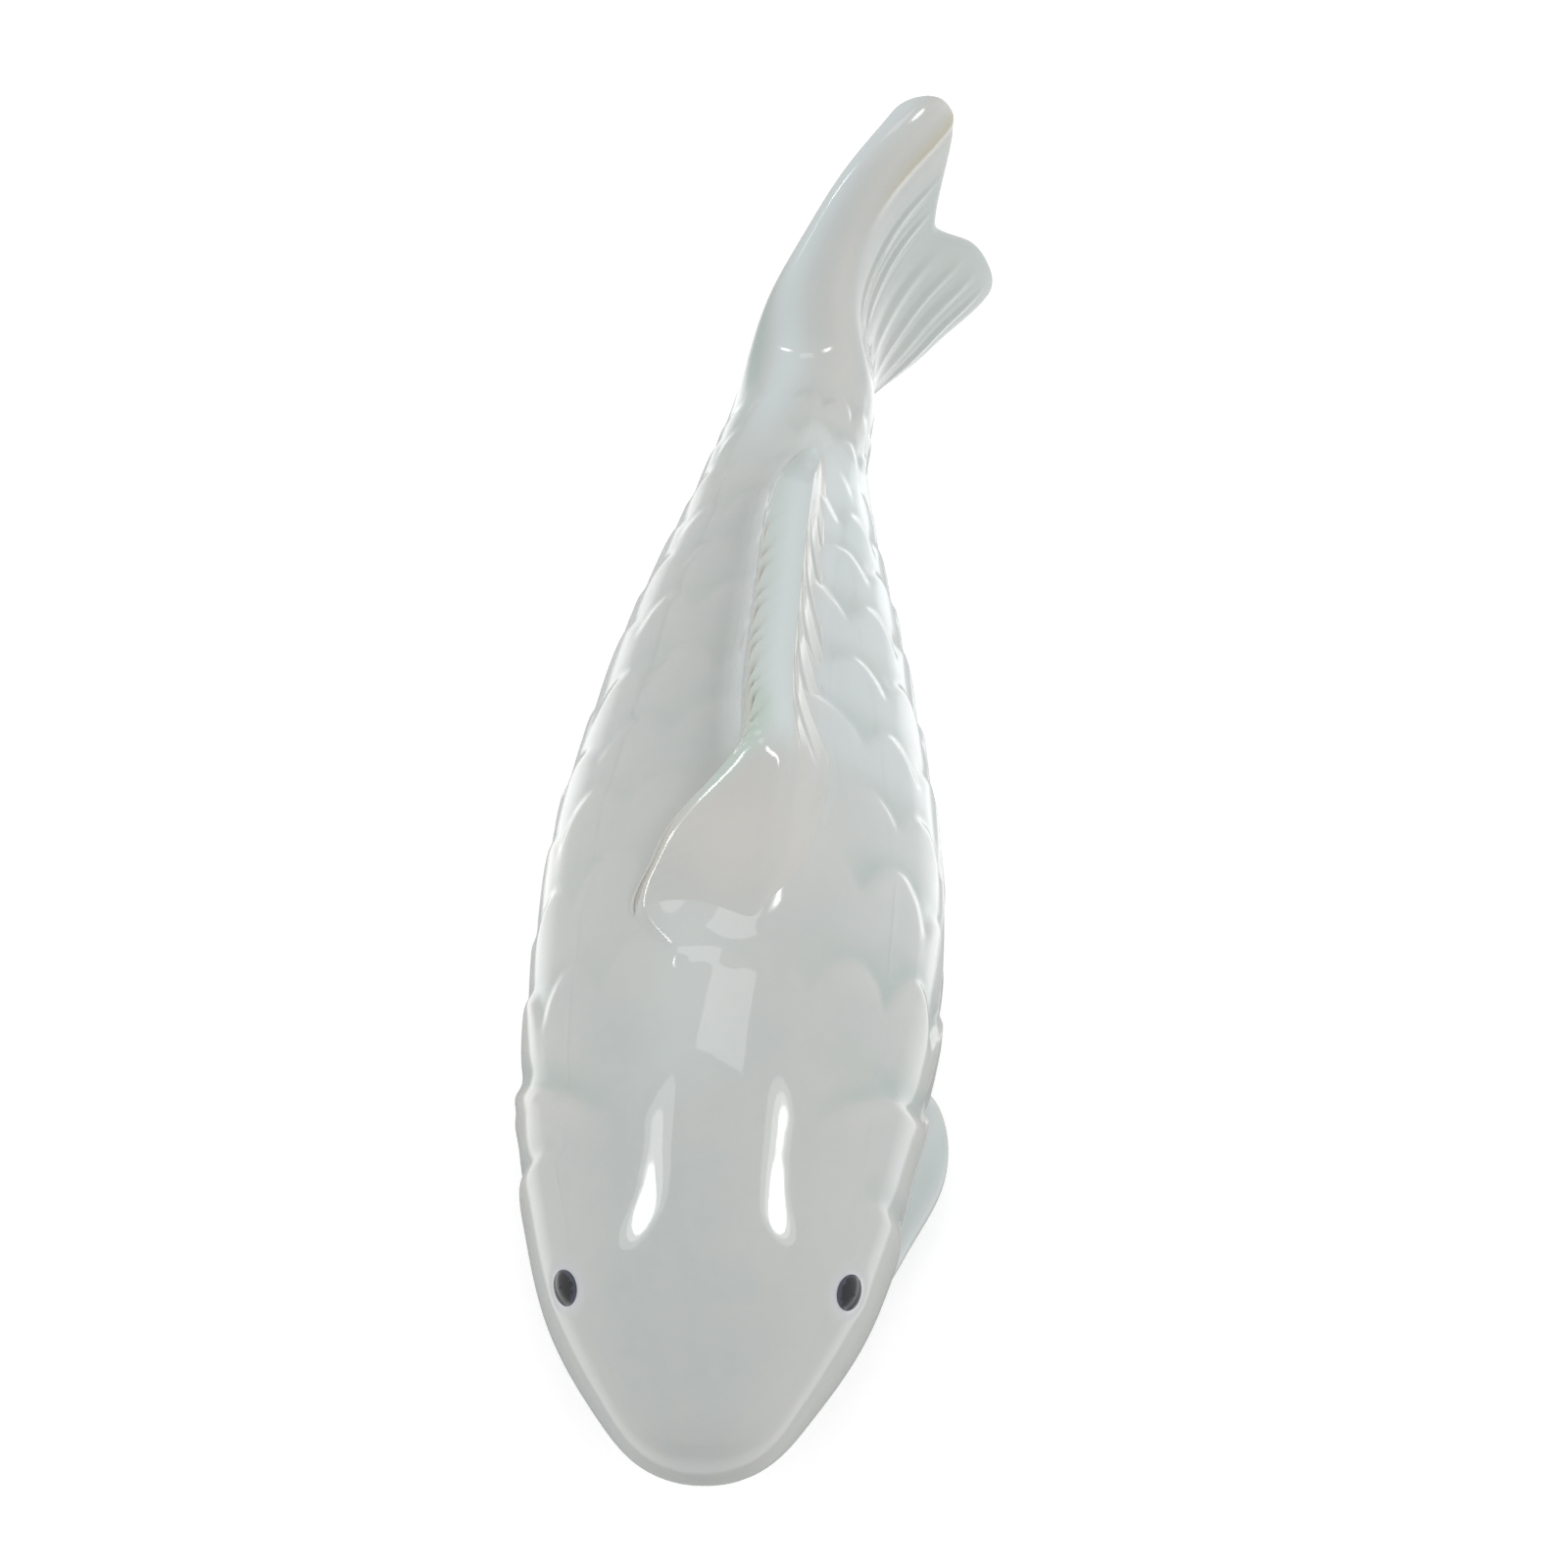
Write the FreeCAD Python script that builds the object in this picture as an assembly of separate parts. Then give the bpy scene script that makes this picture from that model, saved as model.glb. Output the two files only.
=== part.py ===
# Glazed porcelain koi figurine: a hollow body of two luted shells, with fins, eyes and a sealed vent.
#
# The fish lies along Y with its nose towards -Y, its left side towards +X and its back towards +Z.
# The origin is the centre of the dry foot, the flat on the belly that the fish rests on.
# A section is a closed ring across the fish. A turn round it starts at the left side, at 0,
# and passes the back at a quarter and the belly at three quarters of a full turn.
import FreeCAD, Part
import math
import os

from FreeCAD import Vector

# Body
body_length = 99.4          # nose to the end of the tail stem
nose_reach = 53.9           # nose to the centre of the foot
body_width = 33.8
back_height = 17.4          # highest back above the seam
belly_depth = 13.1          # deepest belly below the seam
foot_cut = 0.5              # belly that the flat foot takes off
stem_rise = 3.4             # seam at the tail stem above the seam at the foot
spine_sway = 6.7            # how far the spine bends to the left from nose to tail stem
wall = 3.0                  # thickness of both shells
overrun = 2.0               # how far each cutter passes the body

# Place from the nose, width, back, belly, rise of the seam and sway of the spine, as shares of
# the sizes above
body_shares = [
    (0.014, 0.288, 0.235, 0.190, -0.41, -0.335),
    (0.055, 0.500, 0.414, 0.400, -0.35, -0.335),
    (0.135, 0.762, 0.640, 0.690, -0.27, -0.310),
    (0.220, 0.884, 0.770, 0.820, -0.18, -0.275),
    (0.320, 0.966, 0.900, 0.930, -0.09, -0.185),
    (0.440, 1.000, 0.985, 0.990, -0.02, -0.070),
    (0.560, 0.953, 1.000, 1.000, 0.00, 0.010),
    (0.670, 0.820, 0.920, 0.985, 0.06, 0.075),
    (0.770, 0.670, 0.770, 0.800, 0.27, 0.170),
    (0.870, 0.486, 0.575, 0.580, 0.59, 0.315),
    (0.940, 0.393, 0.471, 0.489, 0.83, 0.485),
    (1.000, 0.353, 0.420, 0.473, 1.00, 0.655),
]
nose_rise_share = -0.47     # of stem_rise, at the very nose
back_power = 2.15           # 2 is an ellipse, more is squarer
belly_power = 2.30
ring_points = 24

# Tail fin
tail_length = 19.8          # stem to the tip of the upper lobe
upper_sweep = 10.6          # upper tip to the left of the stem
lower_sweep = 16.2          # lower tip to the left of the stem
upper_rise = 12.8           # upper tip above the top of the stem
lower_drop = 1.6            # lower tip below the bottom of the stem
ridge_width = 7.0           # rounded front edge of the upper lobe, across the fish
web_width = 3.6             # fin between the lobes, across the fish
keel_width = 4.0            # rounded front edge of the lower lobe, across the fish

# Place behind the stem, then top sweep, top rise, bottom sweep, bottom drop and the widths of
# the ridge, the web and the keel, as shares of the sizes above
tail_shares = [
    (0.20, 0.00, 0.26, 0.24, 0.05, 1.30, 2.60, 2.00),
    (0.40, 0.17, 0.53, 0.53, 0.35, 1.12, 1.50, 1.30),
    (0.60, 0.44, 0.79, 0.74, 0.70, 1.07, 1.05, 1.05),
    (0.80, 0.77, 0.94, 0.95, 0.94, 1.16, 0.80, 0.91),
    (1.10, 1.15, 1.04, 1.09, 1.00, 0.96, 0.65, 0.68),
]
tail_power = 2.60

# Free edge of the tail from above the upper tip to below the lower tip: place behind the stem,
# and height as a share of the way from the lower tip to the upper tip
tail_edge_shares = [
    (0.80, 1.10),
    (0.88, 1.00),
    (0.98, 0.91),
    (0.90, 0.69),
    (0.79, 0.44),
    (0.905, 0.26),
    (0.94, 0.11),
    (0.89, 0.01),
    (0.84, -0.12),
]

# Dorsal fin
dorsal_front = -16.5        # front end, from the foot's centre
dorsal_length = 53.0
dorsal_height = 6.0         # crest above the back
dorsal_half = 8.2           # widest root, from the middle plane
dorsal_root = 5.5           # depth of the blank below the back before it is cut to the body

# Place from the front, then the right root, right crest, left crest and left root across the
# fish, as shares of dorsal_half, and the right and left crest as shares of dorsal_height
dorsal_shares = [
    (0.01, -0.74, -0.60, 0.10, 0.40, -0.24, -0.20),
    (0.08, -1.06, -0.97, 0.32, 0.78, -0.14, 0.12),
    (0.14, -0.94, -0.84, 0.50, 0.92, 0.10, 0.34),
    (0.205, -0.76, -0.64, 0.55, 0.98, 0.32, 0.62),
    (0.28, -0.26, -0.12, 0.56, 1.00, 0.90, 0.94),
    (0.39, -0.07, 0.09, 0.55, 0.95, 0.95, 0.92),
    (0.51, -0.05, 0.07, 0.54, 0.88, 0.82, 0.80),
    (0.69, 0.00, 0.06, 0.51, 0.76, 0.63, 0.60),
    (0.89, 0.06, 0.11, 0.48, 0.61, 0.47, 0.42),
    (0.99, 0.17, 0.24, 0.46, 0.54, 0.10, 0.05),
]
hollow_share = 0.42         # how far the left slope sags towards the root
crest_edge_share = 0.14     # of the crest, how far its edges are rounded
root_share = 0.62           # of dorsal_root, where the slopes end

# Side fins and anal fin: length from the root, width, and half of the thickness
pectoral_length = 19.0
pectoral_width = 8.4
pectoral_half = 1.1
pelvic_length = 12.0
pelvic_width = 7.0
pelvic_half = 0.9
anal_length = 11.0
anal_width = 6.0
anal_half = 1.0
fin_root = 1.0              # depth of each root inside the skin before it is cut

# Outline of a paddle fin from the root's front round the tip to the root's back, as shares of
# its length and width
paddle_shares = [
    (0.00, 0.16),
    (0.22, 0.38),
    (0.50, 0.52),
    (0.78, 0.43),
    (0.96, 0.20),
    (1.00, -0.04),
    (0.88, -0.32),
    (0.60, -0.48),
    (0.26, -0.36),
    (0.00, -0.20),
]
face_share = 0.84           # of the outline, left at the fin's two faces

# Places of the side fins on the body: share of body_length, and turn in degrees
pectoral_place_share = 0.188
pectoral_turn = -28.0
pelvic_place_share = 0.60
pelvic_turn = -62.0
anal_place_share = 0.835

# How each fin points: degrees back from straight out, degrees below level, degrees of twist
pectoral_left_pose = (74.0, 4.0, 18.0)
pectoral_right_pose = (84.0, 6.0, 62.0)
pelvic_pose = (72.0, -6.0, 10.0)
anal_tilt = 66.0            # degrees that the anal fin leans back from straight down

# Eyes
eye_radius = 1.45
eye_depth = 1.3
eye_dome = 0.4              # middle of the eye above the skin
eye_place_share = 0.135     # of body_length
eye_span_share = 0.08       # of body_length, ahead of and behind the eye, that sets its direction
eye_turn = 31.0             # degrees above the seam

# Vent in the foot
vent_radius = 3.0
vent_back = 9.0             # from the foot's centre
vent_recess = 0.6
vent_inside = 0.4           # plug above the inner floor

loft_degree = 3
half_width = body_width / 2
seam_height = belly_depth - foot_cut


def smooth_wire(points):
    """A closed smooth curve through the points."""
    curve = Part.BSplineCurve()
    curve.interpolate(Points=points, PeriodicFlag=True,
                      Parameters=[float(i) for i in range(len(points) + 1)])
    return Part.Wire([curve.toShape()])


def loft(sections):
    """Solid through the sections, smooth from one to the next."""
    return Part.makeLoft(sections, True, False, False, loft_degree)


def bulge(turn, power):
    """Cosine and sine of a turn on a circle that a power above 2 makes squarer."""
    across, up = math.cos(turn), math.sin(turn)
    return (math.copysign(abs(across) ** (2 / power), across),
            math.copysign(abs(up) ** (2 / power), up))


def ring_turns():
    """Even turns round a section, from the middle of the belly."""
    return [2 * math.pi * i / ring_points - math.pi / 2 for i in range(ring_points)]


def body_row(place):
    """The shares at a place, from the rows on either side of it."""
    for low, high in zip(body_shares, body_shares[1:]):
        if place <= high[0]:
            part = (place - low[0]) / (high[0] - low[0])
            return [a + part * (b - a) for a, b in zip(low, high)]
    return list(body_shares[-1])


def middle_line(place, rise, sway):
    """Centre of the section at a place, where the shells meet."""
    return Vector(sway * spine_sway, place * body_length - nose_reach,
                  seam_height + rise * stem_rise)


def skin_point(row, turn, inset=0.0):
    """Point on the section of a row, or that far inside the skin."""
    place, width, back, belly, rise, sway = row
    height = back * back_height if math.sin(turn) >= 0 else belly * belly_depth
    across, up = bulge(turn, back_power if math.sin(turn) >= 0 else belly_power)
    offset = Vector((width * half_width - inset) * across, 0, (height - inset) * up)
    return middle_line(place, rise, sway) + offset


def ring(row, inset=0.0):
    """Section of the body at a row."""
    return smooth_wire([skin_point(row, turn, inset) for turn in ring_turns()])


def back_top(place):
    """Highest point of the back at a place."""
    return skin_point(body_row(place), math.pi / 2)


def body_solid():
    """The whole body with no hollow and no foot."""
    nose = Part.Vertex(middle_line(0, nose_rise_share, body_shares[0][-1]))
    return loft([nose] + [ring(row) for row in body_shares])


def hollow_solid():
    """The hollow inside the two shells."""
    rows = body_shares[1:-1]
    front = Part.Vertex(middle_line(wall / body_length, nose_rise_share, body_shares[0][-1]))
    back = Part.Vertex(middle_line(1 - wall / body_length, *body_shares[-1][-2:]))
    return loft([front] + [ring(row, wall) for row in rows] + [back])


def below_seam():
    """Everything under the seam, wide enough to part the whole body."""
    side = half_width + overrun
    middle = [middle_line(row[0], *row[-2:]) for row in body_shares]
    line = [Vector(-side, point.y, point.z) for point in middle]
    curve = Part.BSplineCurve()
    curve.interpolate(line)
    front = Vector(-side, -nose_reach - overrun, line[0].z)
    back = Vector(-side, line[-1].y + overrun, line[-1].z)
    drop = Vector(0, 0, -seam_height - stem_rise - overrun)
    rest = Part.makePolygon([line[-1], back, back + drop, front + drop, front, line[0]])
    face = Part.Face(Part.Wire([curve.toShape()] + rest.Edges))
    return face.extrude(Vector(2 * side, 0, 0))


def under_foot():
    """Everything under the plane that the fish rests on."""
    side = half_width + overrun
    deep = foot_cut + overrun
    return Part.makeBox(2 * side, body_length, deep, Vector(-side, -nose_reach, -deep))


def tail_ring(row):
    """Section of the tail fin, thick at its top and bottom edges and thin between them."""
    place, top_sweep, top_rise, low_sweep, low_drop, ridge, web, keel = row
    stem = body_shares[-1]
    root = middle_line(1, *stem[-2:])
    top = root.z + stem[2] * back_height + top_rise * upper_rise
    low = root.z - stem[3] * belly_depth - low_drop * lower_drop
    points = []
    for turn in ring_turns():
        across, up = bulge(turn, tail_power)
        part = (1 + up) / 2
        half = (ridge * ridge_width * part * part + keel * keel_width * (1 - part) ** 2) / 2
        half += web * web_width * part * (1 - part)
        flare = (1 - part) ** 2
        sweep = top_sweep * upper_sweep * (1 - flare) + low_sweep * lower_sweep * flare
        points.append(Vector(root.x + sweep + half * across, root.y + place * tail_length,
                             low + part * (top - low)))
    return smooth_wire(points)


def tail_fin():
    """Forked tail fin that sweeps to the left, its lower lobe more than its upper one."""
    stem = body_shares[-1]
    root = middle_line(1, *stem[-2:])
    blank = loft([ring(stem)] + [tail_ring(row) for row in tail_shares])
    top = root.z + stem[2] * back_height + upper_rise
    low = root.z - stem[3] * belly_depth - lower_drop
    side = root.x - half_width
    edge = [Vector(side, root.y + place * tail_length, low + part * (top - low))
            for place, part in tail_edge_shares]
    curve = Part.BSplineCurve()
    curve.interpolate(edge)
    front = root.y - overrun
    above = top + overrun
    below = low - overrun
    rest = Part.makePolygon([edge[-1], Vector(side, edge[-1].y, below), Vector(side, front, below),
                             Vector(side, front, above), Vector(side, edge[0].y, above), edge[0]])
    face = Part.Face(Part.Wire([curve.toShape()] + rest.Edges))
    return blank.common(face.extrude(Vector(2 * body_width, 0, 0)))


def dorsal_ring(row):
    """Section of the dorsal fin: a steep right side, a flat crest and a long left slope."""
    place, right_root, right_crest, left_crest, left_root, right_rise, left_rise = row
    y = dorsal_front + place * dorsal_length
    back = back_top((y + nose_reach) / body_length)
    deep = -dorsal_root
    root = root_share * deep
    right = right_rise * dorsal_height
    left = left_rise * dorsal_height
    edge = crest_edge_share * (left_crest - right_crest)
    outline = [
        (right_root, deep),
        (right_root, root),
        ((right_root + right_crest) / 2, (right + root) / 2),
        (right_crest, right - crest_edge_share * (right - root)),
        (right_crest + edge, right),
        (left_crest - edge, left),
        (left_crest, left - crest_edge_share * (left - root)),
        (left_crest + hollow_share * (left_root - left_crest),
         hollow_share * left + (1 - hollow_share) * root),
        (left_root, root),
        (left_root, deep),
    ]
    return smooth_wire([Vector(back.x + part * dorsal_half, y, back.z + rise)
                        for part, rise in outline])


def dorsal_fin(body):
    """Dorsal fin, cut underneath to the shape of the back."""
    return loft([dorsal_ring(row) for row in dorsal_shares]).cut(body)


def paddle(length, width, half):
    """Flat fin along +X from its root, rounded towards its edge."""
    outline = [(along * length, across * width) for along, across in paddle_shares]
    middle = length / 2
    wires = []
    for level, keep in ((-half, face_share), (0, 1), (half, face_share)):
        points = [Vector(middle + keep * (x - middle), keep * y, level) for x, y in outline]
        wires.append(smooth_wire(points))
    return loft(wires)


def side_fin(size, place, turn, pose, side, body):
    """Fin on the left side, where side is 1, or mirrored to the right side, where it is -1."""
    back, down, twist = pose
    fin = paddle(*size)
    fin.rotate(Vector(0, 0, 0), Vector(1, 0, 0), twist)
    fin.rotate(Vector(0, 0, 0), Vector(0, 1, 0), down)
    fin.rotate(Vector(0, 0, 0), Vector(0, 0, 1), back)
    row = body_row(place)
    middle = Vector(middle_line(place, *row[-2:]).x, 0, 0)
    root = skin_point(row, math.radians(turn), fin_root)
    fin.translate(root - middle)
    if side < 0:
        fin = fin.mirror(Vector(0, 0, 0), Vector(1, 0, 0))
    fin.translate(middle)
    return outside(fin, body)


def anal_fin(body):
    """Upright fin under the tail stem, leaning back."""
    fin = paddle(anal_length, anal_width, anal_half)
    fin.rotate(Vector(0, 0, 0), Vector(1, 0, 0), 90)
    fin.rotate(Vector(0, 0, 0), Vector(0, 0, 1), 90)
    fin.rotate(Vector(0, 0, 0), Vector(1, 0, 0), anal_tilt - 90)
    fin.translate(skin_point(body_row(anal_place_share), -math.pi / 2, fin_root))
    return outside(fin, body)


def outside(fin, body):
    """The part of a fin that stands out of the body, without any piece that came off inside."""
    pieces = fin.cut(body).Solids
    return max(pieces, key=lambda piece: piece.Volume)


def eye(side):
    """Domed button set square to the skin of the head, on its left where side is 1."""
    turn = math.radians(eye_turn)
    row = body_row(eye_place_share)
    along = (skin_point(body_row(eye_place_share + eye_span_share), turn)
             - skin_point(body_row(eye_place_share - eye_span_share), turn))
    step = math.pi / ring_points
    around = skin_point(row, turn + step) - skin_point(row, turn - step)
    upright = Vector(0, 0, 1)
    foot = Vector(0, 0, -eye_depth)
    rim = Vector(eye_radius, 0, 0)
    crown = Vector(0, 0, eye_dome)
    ball = (eye_radius ** 2 + eye_dome ** 2) / (2 * eye_dome)
    lean = math.asin(eye_radius / ball) / 2
    shoulder = Vector(ball * math.sin(lean), 0, eye_dome - ball + ball * math.cos(lean))
    sides = [Part.makePolygon([crown, foot, foot + rim, rim]), Part.Arc(rim, shoulder, crown).toShape()]
    outline = Part.Wire([edge for side_line in sides for edge in side_line.Edges])
    button = Part.Face(outline).revolve(Vector(0, 0, 0), upright, 360)
    out = along.cross(around)
    button.Placement = FreeCAD.Placement(skin_point(row, turn), FreeCAD.Rotation(upright, out))
    if side < 0:
        button = button.mirror(middle_line(row[0], *row[-2:]), Vector(1, 0, 0))
    return button


def build():
    """All the pieces by name."""
    body = body_solid()
    hollow = hollow_solid()
    eyes = {"eye_left": eye(1), "eye_right": eye(-1)}
    below = below_seam()
    shell = body.cut(hollow).cut(under_foot())
    vent = Part.makeCylinder(vent_radius, seam_height, Vector(0, vent_back, 0))
    belly = shell.common(below).cut(vent)
    back = shell.cut(below)
    for button in eyes.values():
        back = back.cut(button)
    plug_height = wall - foot_cut + vent_inside - vent_recess
    pectoral = (pectoral_length, pectoral_width, pectoral_half)
    pelvic = (pelvic_length, pelvic_width, pelvic_half)
    parts = {
        "back_shell": back,
        "belly_shell": belly,
        "dorsal_fin": dorsal_fin(body),
        "tail_fin": tail_fin(),
        "anal_fin": anal_fin(body),
        "vent_plug": Part.makeCylinder(vent_radius, plug_height, Vector(0, vent_back, vent_recess)),
    }
    for name, side, pose in (("left", 1, pectoral_left_pose), ("right", -1, pectoral_right_pose)):
        parts["pectoral_fin_" + name] = side_fin(pectoral, pectoral_place_share, pectoral_turn,
                                                 pose, side, body)
        parts["pelvic_fin_" + name] = side_fin(pelvic, pelvic_place_share, pelvic_turn,
                                               pelvic_pose, side, body)
    parts.update(eyes)
    return parts


os.makedirs("parts", exist_ok=True)
for name, shape in sorted(build().items()):
    box = shape.BoundBox
    print(name, len(shape.Solids), shape.isValid(), round(shape.Volume, 2),
          [round(v, 2) for v in (box.XMin, box.YMin, box.ZMin, box.XMax, box.YMax, box.ZMax)])
    shape.exportStep("parts/" + name + ".step")
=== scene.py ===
"""Glazed porcelain koi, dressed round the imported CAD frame.

The fish lies along Y with its nose towards -Y, its left side towards +X and its back towards +Z.
Sizes in the classes are millimetres, and the meshes are in metres, in the frame of the CAD model.
A place is a share of the body's length from the nose. A turn is in degrees round the body: 0 is
its left side, 90 its back, 180 its right side and 270 its belly.
"""
from __future__ import annotations

import logging
import math
from dataclasses import dataclass, field
from enum import Enum

import bmesh
import bpy
import numpy as np
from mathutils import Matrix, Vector

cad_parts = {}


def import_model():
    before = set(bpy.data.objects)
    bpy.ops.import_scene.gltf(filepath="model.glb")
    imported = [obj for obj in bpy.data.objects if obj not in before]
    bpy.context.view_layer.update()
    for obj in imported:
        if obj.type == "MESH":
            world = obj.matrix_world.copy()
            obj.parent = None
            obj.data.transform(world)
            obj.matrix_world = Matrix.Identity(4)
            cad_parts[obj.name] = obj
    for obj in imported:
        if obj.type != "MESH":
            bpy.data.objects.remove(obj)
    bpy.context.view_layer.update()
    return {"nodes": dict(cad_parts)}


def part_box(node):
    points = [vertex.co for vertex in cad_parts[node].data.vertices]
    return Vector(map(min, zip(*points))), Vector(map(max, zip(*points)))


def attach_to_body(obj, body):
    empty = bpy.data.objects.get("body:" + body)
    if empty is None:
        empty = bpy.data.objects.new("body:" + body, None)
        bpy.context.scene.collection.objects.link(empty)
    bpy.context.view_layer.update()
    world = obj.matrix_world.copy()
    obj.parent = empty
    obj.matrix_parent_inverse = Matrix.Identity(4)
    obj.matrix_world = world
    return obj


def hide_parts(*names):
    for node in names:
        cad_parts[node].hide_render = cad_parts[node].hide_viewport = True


MM = 0.001
TURN = 2 * math.pi
BODY = "root"
GRID_ORDER = "grid_order"
log = logging.getLogger("koi")


class Side(Enum):
    """Side of the fish, as the sign of X."""

    LEFT = 1
    RIGHT = -1


class Tint(Enum):
    """Point attributes that a skin carries, each from 0 to 1."""

    POOL = "glaze_pool"
    RISE = "glaze_thin"
    EDGE = "glaze_edge"
    MINT = "glaze_mint"
    # Pale bluish glaze, and also painted light laid along the dorsal fin's rays and beside its
    # foot.
    PALE_AND_PAINTED_LIGHT = "glaze_pale_and_painted_light"
    HALO = "eye_halo"


Tints = dict[Tint, np.ndarray]


# ---------------------------------------------------------------- curves and fields


@dataclass(frozen=True)
class Ramp:
    """A soft step from 0 at the start to 1 at the end, which may lie below the start."""

    start: float
    end: float

    def __call__(self, value: np.ndarray) -> np.ndarray:
        """Height of the step at each value."""
        part = np.clip((value - self.start) / (self.end - self.start), 0, 1)
        return part * part * (3 - 2 * part)


@dataclass(frozen=True)
class Bump:
    """A soft bump of height 1."""

    middle: float
    width: float

    def __call__(self, value: np.ndarray) -> np.ndarray:
        """Height of the bump at each value."""
        return np.exp(-((value - self.middle) / self.width) ** 2)


def spline_slopes(knots: np.ndarray, values: np.ndarray) -> np.ndarray:
    """Slopes at the knots of the smooth natural curve through the values.

    Args:
        knots: rising positions, one per value.
        values: points of any shape, one row per knot.

    Returns:
        One slope per value, in the same shape.
    """
    count = len(knots)
    flat = values.reshape(count, -1)
    gaps = np.diff(knots)
    rises = np.diff(flat, axis=0) / gaps[:, None]
    system = np.zeros((count, count))
    target = np.zeros_like(flat)
    system[0, :2] = 2, 1
    target[0] = 3 * rises[0]
    system[-1, -2:] = 1, 2
    target[-1] = 3 * rises[-1]
    for row in range(1, count - 1):
        before, after = 1 / gaps[row - 1], 1 / gaps[row]
        system[row, row - 1:row + 2] = before, 2 * (before + after), after
        target[row] = 3 * (rises[row - 1] * before + rises[row] * after)
    return np.linalg.solve(system, target).reshape(values.shape)


def spline_at(knots: np.ndarray, values: np.ndarray, places: np.ndarray) -> np.ndarray:
    """Points of the smooth curve through the values, at the places.

    Args:
        knots: rising positions, one per value.
        values: an array with one row per knot, and one column per curve.
        places: positions to read, one row each, alike for all curves or one column per curve.

    Returns:
        An array with one row per place.
    """
    slopes = spline_slopes(knots, values)
    if places.ndim == 1:
        places = np.repeat(places[:, None], values.shape[1], axis=1)
    cell = np.clip(np.searchsorted(knots, places, side="right") - 1, 0, len(knots) - 2)
    column = np.arange(values.shape[1])[None, :]
    gap = (knots[cell + 1] - knots[cell])[..., None]
    part = ((places - knots[cell])[..., None]) / gap
    start, end = values[cell, column], values[cell + 1, column]
    lean_in, lean_out = slopes[cell, column] * gap, slopes[cell + 1, column] * gap
    square, cube = part ** 2, part ** 3
    return (start * (2 * cube - 3 * square + 1) + lean_in * (cube - 2 * square + part)
            + end * (3 * square - 2 * cube) + lean_out * (cube - square))


def ring_at(points: np.ndarray, turns: np.ndarray) -> np.ndarray:
    """Smooth closed rings through a few points each.

    Args:
        points: rings by points by 3, the points one unit of turn apart.
        turns: where to read each ring, in those units, from 0 to the number of points.

    Returns:
        Rings by turns by 3.
    """
    count = points.shape[1]
    lap = np.concatenate([points[:, -5:], points, points[:, :6]], axis=1)
    knots = np.arange(-5, count + 6, dtype=float)
    return np.swapaxes(spline_at(knots, np.swapaxes(lap, 0, 1), turns), 0, 1)


def soften(grid: np.ndarray, spread: tuple[float, float], closed: bool) -> np.ndarray:
    """Blurs a field on a grid.

    Args:
        grid: rows by columns.
        spread: spread down the rows and across the columns, in cells.
        closed: whether the last column meets the first.

    Returns:
        The blurred field.
    """
    for axis, cells in enumerate(spread):
        reach = max(1, int(math.ceil(3 * cells)))
        weights = np.exp(-0.5 * (np.arange(-reach, reach + 1) / cells) ** 2)
        weights /= weights.sum()
        pad = [(0, 0), (0, 0)]
        pad[axis] = (reach, reach)
        padded = np.pad(grid, pad, mode="wrap" if closed and axis == 1 else "edge")
        size = grid.shape[axis]
        grid = sum(weight * np.take(padded, np.arange(step, step + size), axis=axis)
                   for step, weight in enumerate(weights))
    return grid


def grid_normals(points: np.ndarray) -> np.ndarray:
    """Outward unit normals of a closed skin.

    Args:
        points: rows by columns by 3, the columns turning to the left seen down the rows.

    Returns:
        Rows by columns by 3.
    """
    along = np.gradient(points, axis=0)
    across = np.roll(points, -1, axis=1) - np.roll(points, 1, axis=1)
    normals = np.cross(along, across)
    sizes = np.linalg.norm(normals, axis=2, keepdims=True)
    return normals / np.maximum(sizes, 1e-12)


def bulge(turns: np.ndarray, power: np.ndarray | float) -> tuple[np.ndarray, np.ndarray]:
    """Cosine and sine of turns on a circle that a power above 2 makes squarer."""
    across, up = np.cos(turns), np.sin(turns)
    return (np.sign(across) * np.abs(across) ** (2 / power),
            np.sign(up) * np.abs(up) ** (2 / power))


def sawtooth(phase: np.ndarray) -> np.ndarray:
    """Distance from the middle of each unit of a phase, from -0.5 to 0.5."""
    return phase - np.floor(phase) - 0.5


@dataclass
class LevelMap:
    """Heights over a level grid, in millimetres."""

    across: np.ndarray
    along: np.ndarray
    height: np.ndarray

    @classmethod
    def over_rings(cls, rings: np.ndarray, across: np.ndarray, along: np.ndarray,
                   fall: float) -> LevelMap:
        """Reads the top of a skin whose rings each lie in one plane across the fish.

        Args:
            rings: rings by points by 3, the points from side to side over the top.
            across: the grid's rising places on X.
            along: the grid's rising places on Y.
            fall: how steeply the map drops beyond the rings.

        Returns:
            The map.
        """
        lines = []
        for ring in rings:
            order = np.argsort(ring[:, 0])
            wide, tall = ring[order, 0], ring[order, 2]
            beyond = np.maximum(wide[0] - across, 0) + np.maximum(across - wide[-1], 0)
            lines.append(np.interp(across, wide, tall) - fall * beyond)
        deep = rings[:, 0, 1]
        height = np.stack([np.interp(along, deep, line) for line in np.transpose(lines)], 1)
        beyond = np.maximum(deep[0] - along, 0) + np.maximum(along - deep[-1], 0)
        return cls(across, along, height - fall * beyond[:, None])

    def at(self, across: np.ndarray, along: np.ndarray) -> np.ndarray:
        """Heights at points, even between the grid's."""
        left, right = self.cell(self.across, across)
        low, up = self.cell(self.along, along)
        grid = self.height
        return ((grid[low, left] * (1 - right) + grid[low, left + 1] * right) * (1 - up)
                + (grid[low + 1, left] * (1 - right) + grid[low + 1, left + 1] * right) * up)

    @staticmethod
    def cell(lines: np.ndarray, value: np.ndarray) -> tuple[np.ndarray, np.ndarray]:
        """Cells between even grid lines that hold the values, and the share of the way across."""
        position = np.clip((value - lines[0]) / (lines[1] - lines[0]), 0, len(lines) - 1.001)
        number = np.floor(position).astype(int)
        return number, position - number


# ---------------------------------------------------------------- mesh work


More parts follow.
